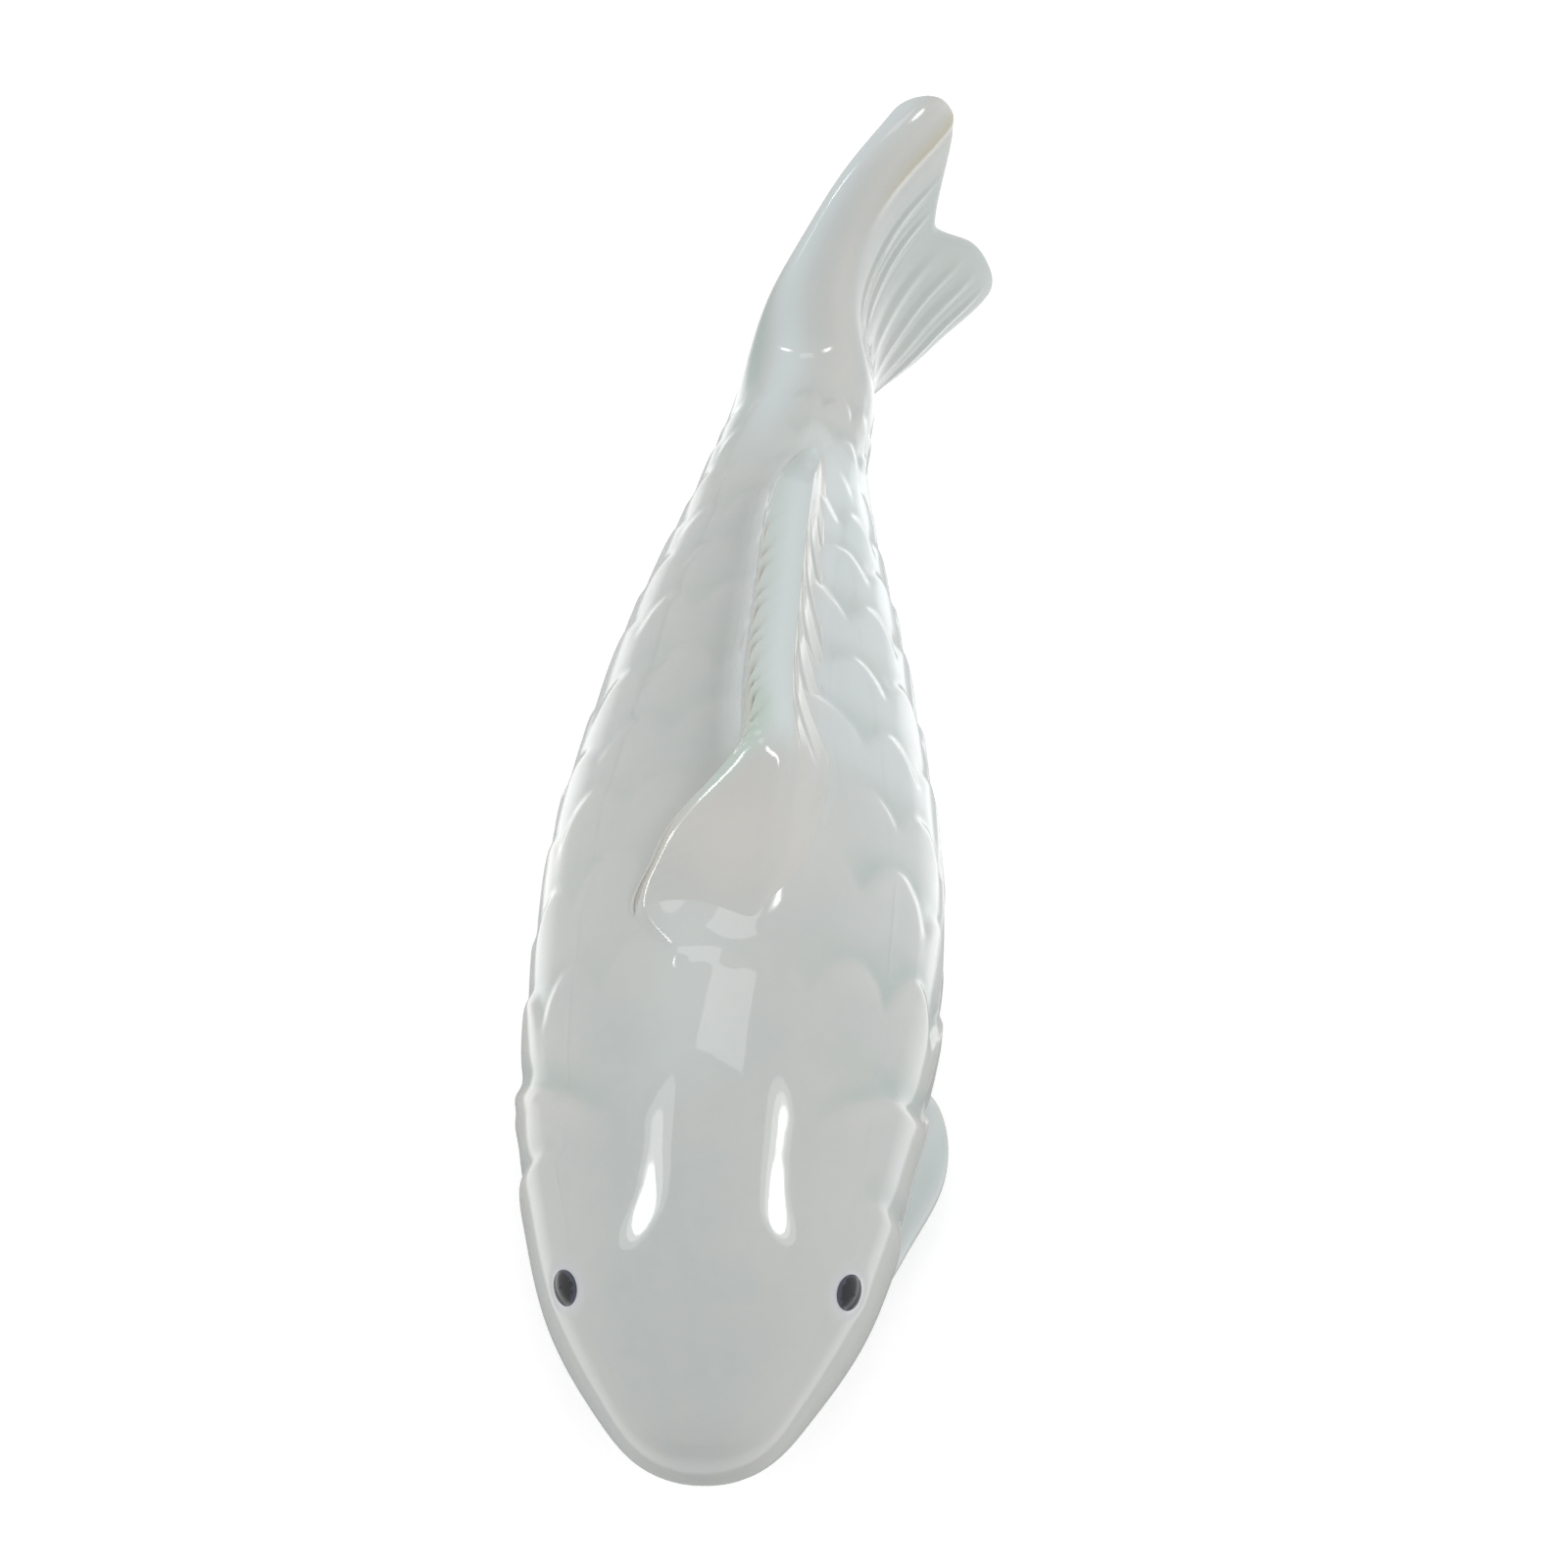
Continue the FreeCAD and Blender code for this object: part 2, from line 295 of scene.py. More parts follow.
def select_only(*pieces: bpy.types.Object) -> None:
    """Selects these pieces alone and makes the first one active."""
    bpy.ops.object.select_all(action="DESELECT")
    for piece in pieces:
        piece.select_set(True)
    bpy.context.view_layer.objects.active = pieces[0]


def corners_of(piece: bpy.types.Object) -> np.ndarray:
    """A piece's corners, one row each."""
    flat = np.empty(len(piece.data.vertices) * 3)
    piece.data.vertices.foreach_get("co", flat)
    return flat.reshape(-1, 3)


def move_corners(piece: bpy.types.Object, points: np.ndarray) -> None:
    """Puts a piece's corners at new points."""
    piece.data.vertices.foreach_set("co", points.ravel())
    piece.data.update()


def paint(piece: bpy.types.Object, tints: Tints) -> None:
    """Keeps glaze tints as point attributes of a piece. One that is left out is 0 all over."""
    none = np.zeros(len(piece.data.vertices))
    for tint in Tint:
        mark = piece.data.attributes.new(tint.value, "FLOAT", "POINT")
        mark.data.foreach_set("value", tints.get(tint, none).astype(np.float32))


def dress(piece: bpy.types.Object, *materials: bpy.types.Material) -> None:
    """Gives a piece these materials in place of its own."""
    piece.data.materials.clear()
    for material in materials:
        piece.data.materials.append(material)


def sculpted_grid(name: str, points: np.ndarray, tints: Tints,
                  outward: bool = True) -> bpy.types.Object:
    """Adds a grid and moves its corners on to a skin.

    Args:
        name: name of the piece.
        points: rows by columns by 3, in millimetres.
        tints: fields on the same grid, kept as point attributes.
        outward: whether the faces look along the skin's normals or against them.

    Returns:
        The new piece, with an attribute that numbers its corners row by row.
    """
    rows, columns = points.shape[:2]
    bpy.ops.object.select_all(action="DESELECT")
    bpy.ops.mesh.primitive_grid_add(x_subdivisions=columns - 1, y_subdivisions=rows - 1, size=1)
    piece = bpy.context.active_object
    piece.name = name
    flat = corners_of(piece)
    column = np.rint((flat[:, 0] + 0.5) * (columns - 1)).astype(int)
    row = np.rint((flat[:, 1] + 0.5) * (rows - 1)).astype(int)
    if outward:
        column = columns - 1 - column
    paint(piece, {key: values[row, column] for key, values in tints.items()})
    order = piece.data.attributes.new(GRID_ORDER, "INT", "POINT")
    order.data.foreach_set("value", (row * columns + column).astype(np.int32))
    move_corners(piece, points[row, column] * MM)
    return piece


def weld(piece: bpy.types.Object, gap: float = 1e-7) -> None:
    """Forgets the corners' numbers and merges corners that lie on each other."""
    piece.data.attributes.remove(piece.data.attributes[GRID_ORDER])
    select_only(piece)
    bpy.ops.object.mode_set(mode="EDIT")
    bpy.ops.mesh.select_all(action="SELECT")
    bpy.ops.mesh.remove_doubles(threshold=gap)
    bpy.ops.mesh.dissolve_degenerate(threshold=gap)
    bpy.ops.object.mode_set(mode="OBJECT")


def close_holes(piece: bpy.types.Object) -> None:
    """Fills a piece's open rims."""
    mesh = bmesh.new()
    mesh.from_mesh(piece.data)
    rims = [edge for edge in mesh.edges if edge.is_boundary]
    bmesh.ops.holes_fill(mesh, edges=rims, sides=0)
    mesh.to_mesh(piece.data)
    mesh.free()


def attach(piece: bpy.types.Object, node: str, degrees: float) -> None:
    """Shades a finished piece and puts it in a CAD node's place.

    Args:
        piece: the glazed piece.
        node: the CAD node that it replaces.
        degrees: edges sharper than this stay sharp.
    """
    select_only(piece)
    bpy.ops.object.shade_smooth_by_angle(angle=math.radians(degrees))
    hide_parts(node)
    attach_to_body(piece, BODY)


def corner_key(point: np.ndarray | Vector) -> tuple[int, int, int]:
    """A point in metres, rounded to a tenth of a micrometre, to find it again."""
    return tuple(int(round(value * 1e7)) for value in point)


def match_normals(piece: bpy.types.Object, points: np.ndarray, normals: np.ndarray) -> None:
    """Gives corners that two pieces share the normals of the one skin they were cut from.

    Args:
        piece: a finished piece.
        points: points of the shared line, in millimetres.
        normals: the skin's unit normals there.
    """
    alike = 0.8
    known = {corner_key(point * MM): normal for point, normal in zip(points, normals)}
    mesh = piece.data
    wanted = [Vector(item.vector) for item in mesh.corner_normals]
    found = {}
    for vertex in mesh.vertices:
        normal = known.get(corner_key(vertex.co))
        if normal is not None:
            found[vertex.index] = Vector(normal)
    for loop in mesh.loops:
        normal = found.get(loop.vertex_index)
        if normal is not None and wanted[loop.index].dot(normal) > alike:
            wanted[loop.index] = normal
    mesh.normals_split_custom_set([tuple(normal) for normal in wanted])


def strip_faces(first: list[int], second: list[int], first_at: np.ndarray,
                second_at: np.ndarray) -> list[tuple[int, int, int]]:
    """Triangles between two lines of corners with unequal counts.

    Args:
        first: corners of one line.
        second: corners of the other line.
        first_at: rising positions of the first line's corners.
        second_at: rising positions of the second line's corners.

    Returns:
        Triples of corners.
    """
    faces = []
    here, there = 0, 0
    while here < len(first) - 1 or there < len(second) - 1:
        step_first = there == len(second) - 1 or (
            here < len(first) - 1 and first_at[here + 1] <= second_at[there + 1])
        if step_first:
            faces.append((first[here], first[here + 1], second[there]))
            here += 1
        else:
            faces.append((first[here], second[there + 1], second[there]))
            there += 1
    return faces


def add_facing(mesh: bmesh.types.BMesh, corners: list[bmesh.types.BMVert], facing: Vector) -> None:
    """Adds a face whose normal leans towards the given direction."""
    if len(set(corners)) < 3:
        return
    face = mesh.faces.new(corners)
    face.normal_update()
    if face.normal.dot(facing) < 0:
        face.normal_flip()
    face.smooth = True


# ---------------------------------------------------------------- finishes


@dataclass
class NodeSheet:
    """A node tree that is filled by short calls."""

    tree: bpy.types.NodeTree

    def add(self, kind: str, inputs: dict | None = None, **settings) -> bpy.types.Node:
        """Adds a node.

        Args:
            kind: Blender's name for the node's type.
            inputs: socket name or number to a value or to another node's output.
            settings: properties of the node.

        Returns:
            The new node.
        """
        node = self.tree.nodes.new(kind)
        for key, value in settings.items():
            setattr(node, key, value)
        self.fill(node, inputs or {})
        return node

    def fill(self, node: bpy.types.Node, inputs: dict) -> None:
        """Sets a node's sockets, or links outputs to them."""
        for key, value in inputs.items():
            if isinstance(value, bpy.types.NodeSocket):
                self.tree.links.new(value, node.inputs[key])
            else:
                node.inputs[key].default_value = value

    def maths(self, operation: str, *inputs: object) -> bpy.types.NodeSocket:
        """Result of a Math node."""
        return self.add("ShaderNodeMath", dict(enumerate(inputs)), operation=operation).outputs[0]

    def span(self, value: object, low: float, high: float, to_low: float = 0.0,
             to_high: float = 1.0) -> bpy.types.NodeSocket:
        """Result of a Map Range node, kept inside its ends."""
        node = self.add("ShaderNodeMapRange", {"Value": value, "From Min": low, "From Max": high,
                                               "To Min": to_low, "To Max": to_high})
        return node.outputs["Result"]

    def blend(self, share: object, first: object, second: object) -> bpy.types.NodeSocket:
        """Colour between two colours."""
        node = self.add("ShaderNodeMix", data_type="RGBA")
        self.fill(node, {0: share, 6: first, 7: second})
        return node.outputs[2]

    def mark(self, tint: Tint) -> bpy.types.NodeSocket:
        """A point attribute of the skin."""
        return self.add("ShaderNodeAttribute", attribute_name=tint.value).outputs["Fac"]

    def noise(self, place: object, cells_per_metre: object, detail: float) -> bpy.types.NodeSocket:
        """Soft noise in space."""
        node = self.add("ShaderNodeTexNoise", {"Vector": place, "Scale": cells_per_metre,
                                               "Detail": detail, "Roughness": 0.5})
        return node.outputs[0]

    def place(self) -> bpy.types.NodeSocket:
        """Object coordinates."""
        return self.add("ShaderNodeTexCoord").outputs["Object"]


def new_finish(name: str) -> tuple[bpy.types.Material, NodeSheet, bpy.types.Node]:
    """A new material, its node sheet and its shader."""
    material = bpy.data.materials.new(name)
    material.use_nodes = True
    return material, NodeSheet(material.node_tree), material.node_tree.nodes["Principled BSDF"]


def srgb(red: float, green: float, blue: float) -> tuple[float, float, float, float]:
    """A colour written as 0 to 255 on the screen, as the linear colour that a socket takes."""
    def linear(value: float) -> float:
        """One channel."""
        value /= 255
        return value / 12.92 if value <= 0.04045 else ((value + 0.055) / 1.055) ** 2.4
    return linear(red), linear(green), linear(blue), 1.0


@dataclass(frozen=True)
class KilnMarks:
    """Shared effect of the kiln: faint mottling, iron specks and a slightly uneven surface."""

    fine_cells: float = 700.0
    fine_share: float = 0.25
    speck_cells: float = 150.0
    speck_core: float = 0.020
    speck_rim: float = 0.040
    ripple_cells: float = 160.0

    def build(self) -> bpy.types.NodeTree:
        """Makes the node group.

        Returns:
            A group with a place, a mottling's scale and a speck share in, and a mottling, specks
            and a height out.
        """
        group = bpy.data.node_groups.new("kiln_marks", "ShaderNodeTree")
        for name, way, kind in (("Place", "INPUT", "Vector"), ("Cloud Scale", "INPUT", "Float"),
                                ("Speck Share", "INPUT", "Float"), ("Cloud", "OUTPUT", "Float"),
                                ("Specks", "OUTPUT", "Float"), ("Height", "OUTPUT", "Float")):
            group.interface.new_socket(name=name, in_out=way, socket_type="NodeSocket" + kind)
        sheet = NodeSheet(group)
        place, cloud_scale, speck_share = list(sheet.add("NodeGroupInput").outputs)[:3]
        wide = sheet.noise(place, cloud_scale, 2.0)
        fine = sheet.noise(place, self.fine_cells, 3.0)
        cloud = sheet.maths("ADD", sheet.maths("MULTIPLY", wide, 1 - self.fine_share),
                            sheet.maths("MULTIPLY", fine, self.fine_share))
        cells = sheet.add("ShaderNodeTexVoronoi", {"Vector": place, "Scale": self.speck_cells})
        dot = sheet.span(cells.outputs["Distance"], self.speck_core, self.speck_rim, 1.0, 0.0)
        split = sheet.add("ShaderNodeSeparateColor", {"Color": cells.outputs["Color"]})
        chosen = sheet.maths("LESS_THAN", split.outputs[0], speck_share)
        specks = sheet.maths("MULTIPLY", dot, chosen)
        sheet.add("NodeGroupOutput", {"Cloud": cloud, "Specks": specks,
                                      "Height": sheet.noise(place, self.ripple_cells, 1.0)})
        return group


@dataclass(frozen=True)
class CeladonGlaze:
    """Clear grey-green glaze over white clay: deep in grooves, thin and warm on what stands up."""

    plain: tuple = srgb(181, 187, 186)
    warm: tuple = srgb(194, 194, 189)
    deep: tuple = srgb(160, 175, 171)
    thin: tuple = srgb(199, 197, 192)
    tan: tuple = srgb(182, 175, 148)
    mint: tuple = srgb(184, 199, 190)
    # Pale bluish glaze. The same colour also paints light along the dorsal fin's rays and beside
    # its foot.
    pale: tuple = srgb(203, 212, 212)
    halo: tuple = srgb(201, 203, 209)
    speck: tuple = srgb(110, 100, 88)
    cloud_scale: float = 70.0
    cloud_ends: tuple = (0.38, 0.62)
    cloud_share: float = 0.55
    speck_count: float = 0.16
    speck_share: float = 0.7
    ripple: float = 0.12 * MM
    ripple_share: float = 0.35

    def build(self, kiln: bpy.types.NodeTree) -> bpy.types.Material:
        """Makes the material.

        Args:
            kiln: the shared group of kiln marks.

        Returns:
            The glaze.
        """
        material, sheet, shader = new_finish("celadon_glaze_dressed")
        marks = sheet.add("ShaderNodeGroup", node_tree=kiln)
        sheet.fill(marks, {"Place": sheet.place(), "Cloud Scale": self.cloud_scale,
                           "Speck Share": self.speck_count})
        cloud = sheet.maths("MULTIPLY", sheet.span(marks.outputs["Cloud"], *self.cloud_ends),
                            self.cloud_share)
        colour = sheet.blend(cloud, self.plain, self.warm)
        # The pale tint includes painted light along the dorsal fin's rays and beside its foot.
        for tint, shade in ((Tint.RISE, self.thin), (Tint.POOL, self.deep), (Tint.PALE_AND_PAINTED_LIGHT, self.pale),
                            (Tint.MINT, self.mint), (Tint.EDGE, self.tan), (Tint.HALO, self.halo)):
            colour = sheet.blend(sheet.mark(tint), colour, shade)
        specks = sheet.maths("MULTIPLY", marks.outputs["Specks"], self.speck_share)
        bump = sheet.add("ShaderNodeBump", {"Height": marks.outputs["Height"],
                                            "Distance": self.ripple, "Strength": self.ripple_share})
        sheet.fill(shader, {"Base Color": sheet.blend(specks, colour, self.speck),
                            "Roughness": 0.45, "IOR": 1.5, "Specular IOR Level": 0.1,
                            "Coat Weight": 1.0, "Coat Roughness": 0.03, "Coat IOR": 1.5,
                            "Normal": bump.outputs[0], "Coat Normal": bump.outputs[0]})
        return material


@dataclass(frozen=True)
class EyeGlaze:
    """Near-black slip under the glaze, bleeding blue at its rim."""

    ink: tuple = srgb(18, 19, 23)
    bleed: tuple = srgb(62, 65, 78)
    radius: float = 1.45 * MM
    rim: tuple = (0.95, 1.05)
    grain_cells: float = 2500.0
    grain: float = 0.06

    def build(self, name: str, middle: Vector) -> bpy.types.Material:
        """Makes the material of one eye.

        Args:
            name: the material's name.
            middle: centre of the eye, in metres.

        Returns:
            The eye's glaze.
        """
        material, sheet, shader = new_finish(name)
        place = sheet.place()
        off = sheet.add("ShaderNodeVectorMath", {0: place, 1: middle}, operation="DISTANCE")
        grain = sheet.noise(place, self.grain_cells, 2.0)
        grain = sheet.span(grain, 0.3, 0.7, -self.grain, self.grain)
        out = sheet.maths("ADD", sheet.maths("DIVIDE", off.outputs["Value"], self.radius), grain)
        colour = sheet.blend(sheet.span(out, *self.rim), self.ink, self.bleed)
        sheet.fill(shader, {"Base Color": colour, "Roughness": 0.3, "Specular IOR Level": 0.2,
                            "Coat Weight": 0.6, "Coat Roughness": 0.04, "Coat IOR": 1.5})
        return material


@dataclass(frozen=True)
class BareClay:
    """Unglazed fired porcelain of the foot and the vent plug: matt, off-white, faintly grainy."""

    pale: tuple = srgb(224, 219, 209)
    worn: tuple = srgb(203, 192, 176)
    cloud_scale: float = 160.0
    cloud_ends: tuple = (0.42, 0.66)
    speck_count: float = 0.4
    grain_cells: float = 4000.0
    grain: float = 0.06 * MM
    grain_share: float = 0.5

    def build(self, kiln: bpy.types.NodeTree) -> bpy.types.Material:
        """Makes the material.

        Args:
            kiln: the shared group of kiln marks.

        Returns:
            The bare clay.
        """
        material, sheet, shader = new_finish("bare_porcelain_dressed")
        place = sheet.place()
        marks = sheet.add("ShaderNodeGroup", node_tree=kiln)
        sheet.fill(marks, {"Place": place, "Cloud Scale": self.cloud_scale,
                           "Speck Share": self.speck_count})
        worn = sheet.maths("MAXIMUM", sheet.span(marks.outputs["Cloud"], *self.cloud_ends),
                           marks.outputs["Specks"])
        grain = sheet.noise(place, self.grain_cells, 3.0)
        bump = sheet.add("ShaderNodeBump", {"Height": grain, "Distance": self.grain,
                                            "Strength": self.grain_share})
        sheet.fill(shader, {"Base Color": sheet.blend(worn, self.pale, self.worn),
                            "Roughness": sheet.span(grain, 0.3, 0.7, 0.62, 0.82),
                            "Normal": bump.outputs[0]})
        return material


# ---------------------------------------------------------------- body and tail


@dataclass
class KoiForm:
    """Sizes of the body and the tail, the same as those of the CAD solids.

    The rows hold place, width, back, belly, rise and sway, and the tail's rows place, top sweep
    and rise, bottom sweep and drop and the widths of the ridge, the web and the keel, all as
    shares of the sizes.
    """

    body_length: float = 99.4
    nose_reach: float = 53.9
    half_width: float = 16.9
    back_height: float = 17.4
    belly_depth: float = 13.1
    seam_height: float = 12.6
    stem_rise: float = 3.4
    spine_sway: float = 6.7
    wall: float = 3.0
    nose_rise: float = -0.47
    back_power: float = 2.15
    belly_power: float = 2.30
    ring_points: int = 24
    rows: np.ndarray = field(default_factory=lambda: np.array([
        (0.014, 0.288, 0.235, 0.190, -0.41, -0.335),
        (0.055, 0.500, 0.414, 0.400, -0.35, -0.335),
        (0.135, 0.762, 0.640, 0.690, -0.27, -0.310),
        (0.220, 0.884, 0.770, 0.820, -0.18, -0.275),
        (0.320, 0.966, 0.900, 0.930, -0.09, -0.185),
        (0.440, 1.000, 0.985, 0.990, -0.02, -0.070),
        (0.560, 0.953, 1.000, 1.000, 0.00, 0.010),
        (0.670, 0.820, 0.920, 0.985, 0.06, 0.075),
        (0.770, 0.670, 0.770, 0.800, 0.27, 0.170),
        (0.870, 0.486, 0.575, 0.580, 0.59, 0.315),
        (0.940, 0.393, 0.471, 0.489, 0.83, 0.485),
        (1.000, 0.353, 0.420, 0.473, 1.00, 0.655)]))
    tail_length: float = 19.8
    upper_sweep: float = 10.6
    lower_sweep: float = 16.2
    upper_rise: float = 12.8
    lower_drop: float = 1.6
    ridge_width: float = 7.0
    web_width: float = 3.6
    keel_width: float = 4.0
    tail_power: float = 2.6
    tail_rows: np.ndarray = field(default_factory=lambda: np.array([
        (0.20, 0.00, 0.26, 0.24, 0.05, 1.30, 2.60, 2.00),
        (0.40, 0.17, 0.53, 0.53, 0.35, 1.12, 1.50, 1.30),
        (0.60, 0.44, 0.79, 0.74, 0.70, 1.07, 1.05, 1.05),
        (0.80, 0.77, 0.94, 0.95, 0.94, 1.16, 0.80, 0.91),
        (1.10, 1.15, 1.04, 1.09, 1.00, 0.96, 0.65, 0.68)]))

    def middle(self, place: float, rise: float, sway: float) -> np.ndarray:
        """Centre of the section at a place, where the shells meet."""
        return np.array([sway * self.spine_sway, place * self.body_length - self.nose_reach,
                         self.seam_height + rise * self.stem_rise])

    def nose(self, place: float = 0.0) -> np.ndarray:
        """Tip of the nose, or a point at a place right behind it."""
        return self.middle(place, self.nose_rise, self.rows[0, 5])

    def stem(self, place: float = 1.0) -> np.ndarray:
        """Centre of the end of the tail stem, or a point at a place right ahead of it."""
        return self.middle(place, *self.rows[-1, 4:])

    def row_at(self, place: float) -> np.ndarray:
        """The shares at a place, from the rows on either side of it."""
        return np.array([np.interp(place, self.rows[:, 0], column) for column in self.rows.T])

    def section(self, row: np.ndarray, turns: np.ndarray, inset: float = 0.0) -> np.ndarray:
        """Points of the body's section at a row, or that far inside the skin.

        Args:
            row: place, width, back, belly, rise and sway, as shares.
            turns: turns round the section, in radians from the left side.
            inset: depth under the skin.

        Returns:
            One point per turn.
        """
        place, width, back, belly, rise, sway = row
        above = np.sin(turns) >= 0
        height = np.where(above, back * self.back_height, belly * self.belly_depth)
        across, up = bulge(turns, np.where(above, self.back_power, self.belly_power))
        offset = np.stack([(width * self.half_width - inset) * across, np.zeros_like(turns),
                           (height - inset) * up], axis=1)
        return self.middle(place, rise, sway) + offset

    def ring_turns(self) -> np.ndarray:
        """Even turns round a section, in radians from the left side."""
        return TURN * np.arange(self.ring_points) / self.ring_points

    def tail_section(self, row: np.ndarray) -> np.ndarray:
        """Points of a tail section, thick at its top and bottom edges and thin between them."""
        place, top_sweep, top_rise, low_sweep, low_drop, ridge, web, keel = row
        root = self.stem()
        top = root[2] + self.rows[-1, 2] * self.back_height + top_rise * self.upper_rise
        low = root[2] - self.rows[-1, 3] * self.belly_depth - low_drop * self.lower_drop
        across, up = bulge(self.ring_turns(), self.tail_power)
        part = (1 + up) / 2
        flare = (1 - part) ** 2
        half = (ridge * self.ridge_width * part ** 2 + keel * self.keel_width * flare) / 2
        half += web * self.web_width * part * (1 - part)
        sweep = top_sweep * self.upper_sweep * (1 - flare) + low_sweep * self.lower_sweep * flare
        return np.stack([root[0] + sweep + half * across,
                         np.full_like(part, root[1] + place * self.tail_length),
                         low + part * (top - low)], axis=1)

    def tail_parts(self, turns: np.ndarray) -> tuple[np.ndarray, np.ndarray]:
        """Which face of the tail each turn is on, and its share of the height from the bottom."""
        across, up = bulge(turns, self.tail_power)
        return across > 0, (1 + up) / 2


@dataclass(frozen=True)
class ScaleCoat:
    """Carved scales and gill plates, as heights on the skin.

    The lean of a point is how many degrees it lies above its side, or below it where negative.
    The plates' edges are pairs of lean and place.
    """

    form: KoiForm
    columns: int = 13
    rows: tuple = (0.300, 0.390, 0.474, 0.541, 0.605, 0.668, 0.730, 0.787, 0.836, 0.880, 0.920,
                   0.955, 0.985)
    step: float = 0.46
    step_pitch: float = 6.5
    step_power: float = 0.6
    step_change: float = 0.5
    side_fall: float = 0.35
    crown: float = 0.08
    bow: float = 0.44
    bow_change: float = 0.16
    groove: float = 0.10
    groove_width: float = 0.9
    level: float = 0.20
    far: float = 9.0
    spread: tuple = (1.6, 1.9)

    first: Ramp = Ramp(0.275, 0.335)
    last: Ramp = Ramp(0.985, 0.945)
    nape_side: Ramp = Ramp(42, 10)
    nape_rear: Ramp = Ramp(0.52, 0.40)
    nape_loss: float = 0.85
    under: Ramp = Ramp(15, 60)
    under_loss: float = 0.45
    left: Ramp = Ramp(8, 40)
    left_shares: tuple = (0.55, 0.45)
    right: Ramp = Ramp(38, 78)
    right_shares: tuple = (0.28, 0.62)
    right_side: Bump = Bump(180, 32)
    right_rear: Ramp = Ramp(0.50, 0.64)
    right_loss: float = 0.40

    rear_edge: tuple = ((-70, 0.225), (-50, 0.262), (-25, 0.306), (0, 0.332), (22, 0.304),
                        (50, 0.266), (62, 0.244), (76, 0.226))
    front_edge: tuple = ((-45, 0.195), (-20, 0.225), (5, 0.245), (30, 0.240), (45, 0.232))
    rear_shift: float = 0.020
    rear_shifted: Ramp = Ramp(40, 10)
    front_shift: float = 0.036
    left_half: Ramp = Ramp(100, 80)
    rear_plate: tuple = (0.50, 6.0, Ramp(64, 44))
    front_plate: tuple = (0.30, 4.5, Ramp(44, 26))
    plate_foot: Ramp = Ramp(-62, -40)
    plate_cheek: Bump = Bump(0, 24)
    cheek_gain: float = 0.5
    plate_lip: Ramp = Ramp(-0.7, 0.7)
    plate_groove: float = 0.8
    plate_gap: float = 1.2
    plate_spread: tuple = (1.2, 1.8)

    def carving(self, place: np.ndarray, turn: np.ndarray) -> np.ndarray:
        """Softened height of the scales and the plates, in millimetres, by point."""
        scales = soften(self.heights(place, turn), self.spread, True)
        plates = soften(self.plates(place, turn), self.plate_spread, True)
        return scales * self.strength(place, turn) + plates

    def heights(self, place: np.ndarray, turn: np.ndarray) -> np.ndarray:
        """Height of the carved scales, before it is softened.

        Args:
            place: share of the body's length, by point.
            turn: degrees round the body, by point.

        Returns:
            Millimetres above the smooth body, about as often below it.
        """
        pitches = np.gradient(np.array(self.rows))
        height = np.zeros_like(place)
        nearest = np.full_like(place, self.far)
        for index, (row, pitch) in reversed(list(enumerate(zip(self.rows, pitches)))):
            lane = turn / 360 * self.columns + 0.5 * (index % 2)
            number = np.floor(lane)
            off = 2 * (lane - number) - 1
            chance = np.sin(index * 12.9898 + number % self.columns * 78.233) * 43758.5453
            wobble = sawtooth(chance)
            edge = row - pitch * (self.bow * off ** 2 - self.bow_change * wobble)
            ahead = (edge - place) * self.form.body_length
            deep = pitch * self.form.body_length
            tall = self.step * (deep / self.step_pitch) ** self.step_power
            tall = tall * (1 + self.step_change * wobble) * (1 - self.side_fall * off ** 4)
            own = tall * (1 - np.clip(ahead / deep, 0, 1)) + self.crown * (1 - off ** 2)
            height = np.where(ahead >= 0, own, height)
            nearest = np.where(ahead < 0, np.minimum(nearest, -ahead), self.far)
        return height - self.groove * Bump(0, self.groove_width)(nearest) - self.level

    def strength(self, place: np.ndarray, turn: np.ndarray) -> np.ndarray:
        """How strongly the scales are carved, from 0 to 1, by point."""
        spine = np.abs(turn - 90)
        nape = 1 - self.nape_side(spine) * self.nape_rear(place) * self.nape_loss
        under = self.under_loss * self.under(90 - np.abs(turn - 270))
        belly = np.where(turn > 180, 1 - under, 1.0)
        belly = belly * (1 - self.right_loss * self.right_side(turn) * self.right_rear(place))
        left = self.left_shares[0] + self.left_shares[1] * self.left(spine)
        right = self.right_shares[0] + self.right_shares[1] * self.right(spine)
        side = np.where((turn > 90) & (turn < 180), right, left)
        return self.first(place) * self.last(place) * nape * belly * side

    def plates(self, place: np.ndarray, turn: np.ndarray) -> np.ndarray:
        """Height of the gill plates, before it is softened.

        Args:
            place: share of the body's length, by point.
            turn: degrees round the body, by point.

        Returns:
            Millimetres above the smooth body.
        """
        round_left = np.where(turn > 270, turn - 360, turn)
        lean = np.where(round_left > 90, 180 - round_left, round_left)
        on_left = self.left_half(round_left)
        rear = np.interp(lean, *np.transpose(self.rear_edge))
        rear = rear - self.rear_shift * on_left * self.rear_shifted(lean)
        front = np.interp(lean, *np.transpose(self.front_edge)) - self.front_shift * on_left
        shown = self.plate_foot(lean) * (1 + self.cheek_gain * self.plate_cheek(lean))
        total = np.zeros_like(place)
        for edge, (tall, reach, top) in ((rear, self.rear_plate), (front, self.front_plate)):
            ahead = (edge - place) * self.form.body_length
            raised = tall * np.exp(-np.maximum(ahead, 0) / reach) * self.plate_lip(ahead)
            gap = self.plate_groove * self.groove * Bump(-self.plate_gap, self.groove_width)(ahead)
            total += (raised - gap) * top(lean) * shown
        return total


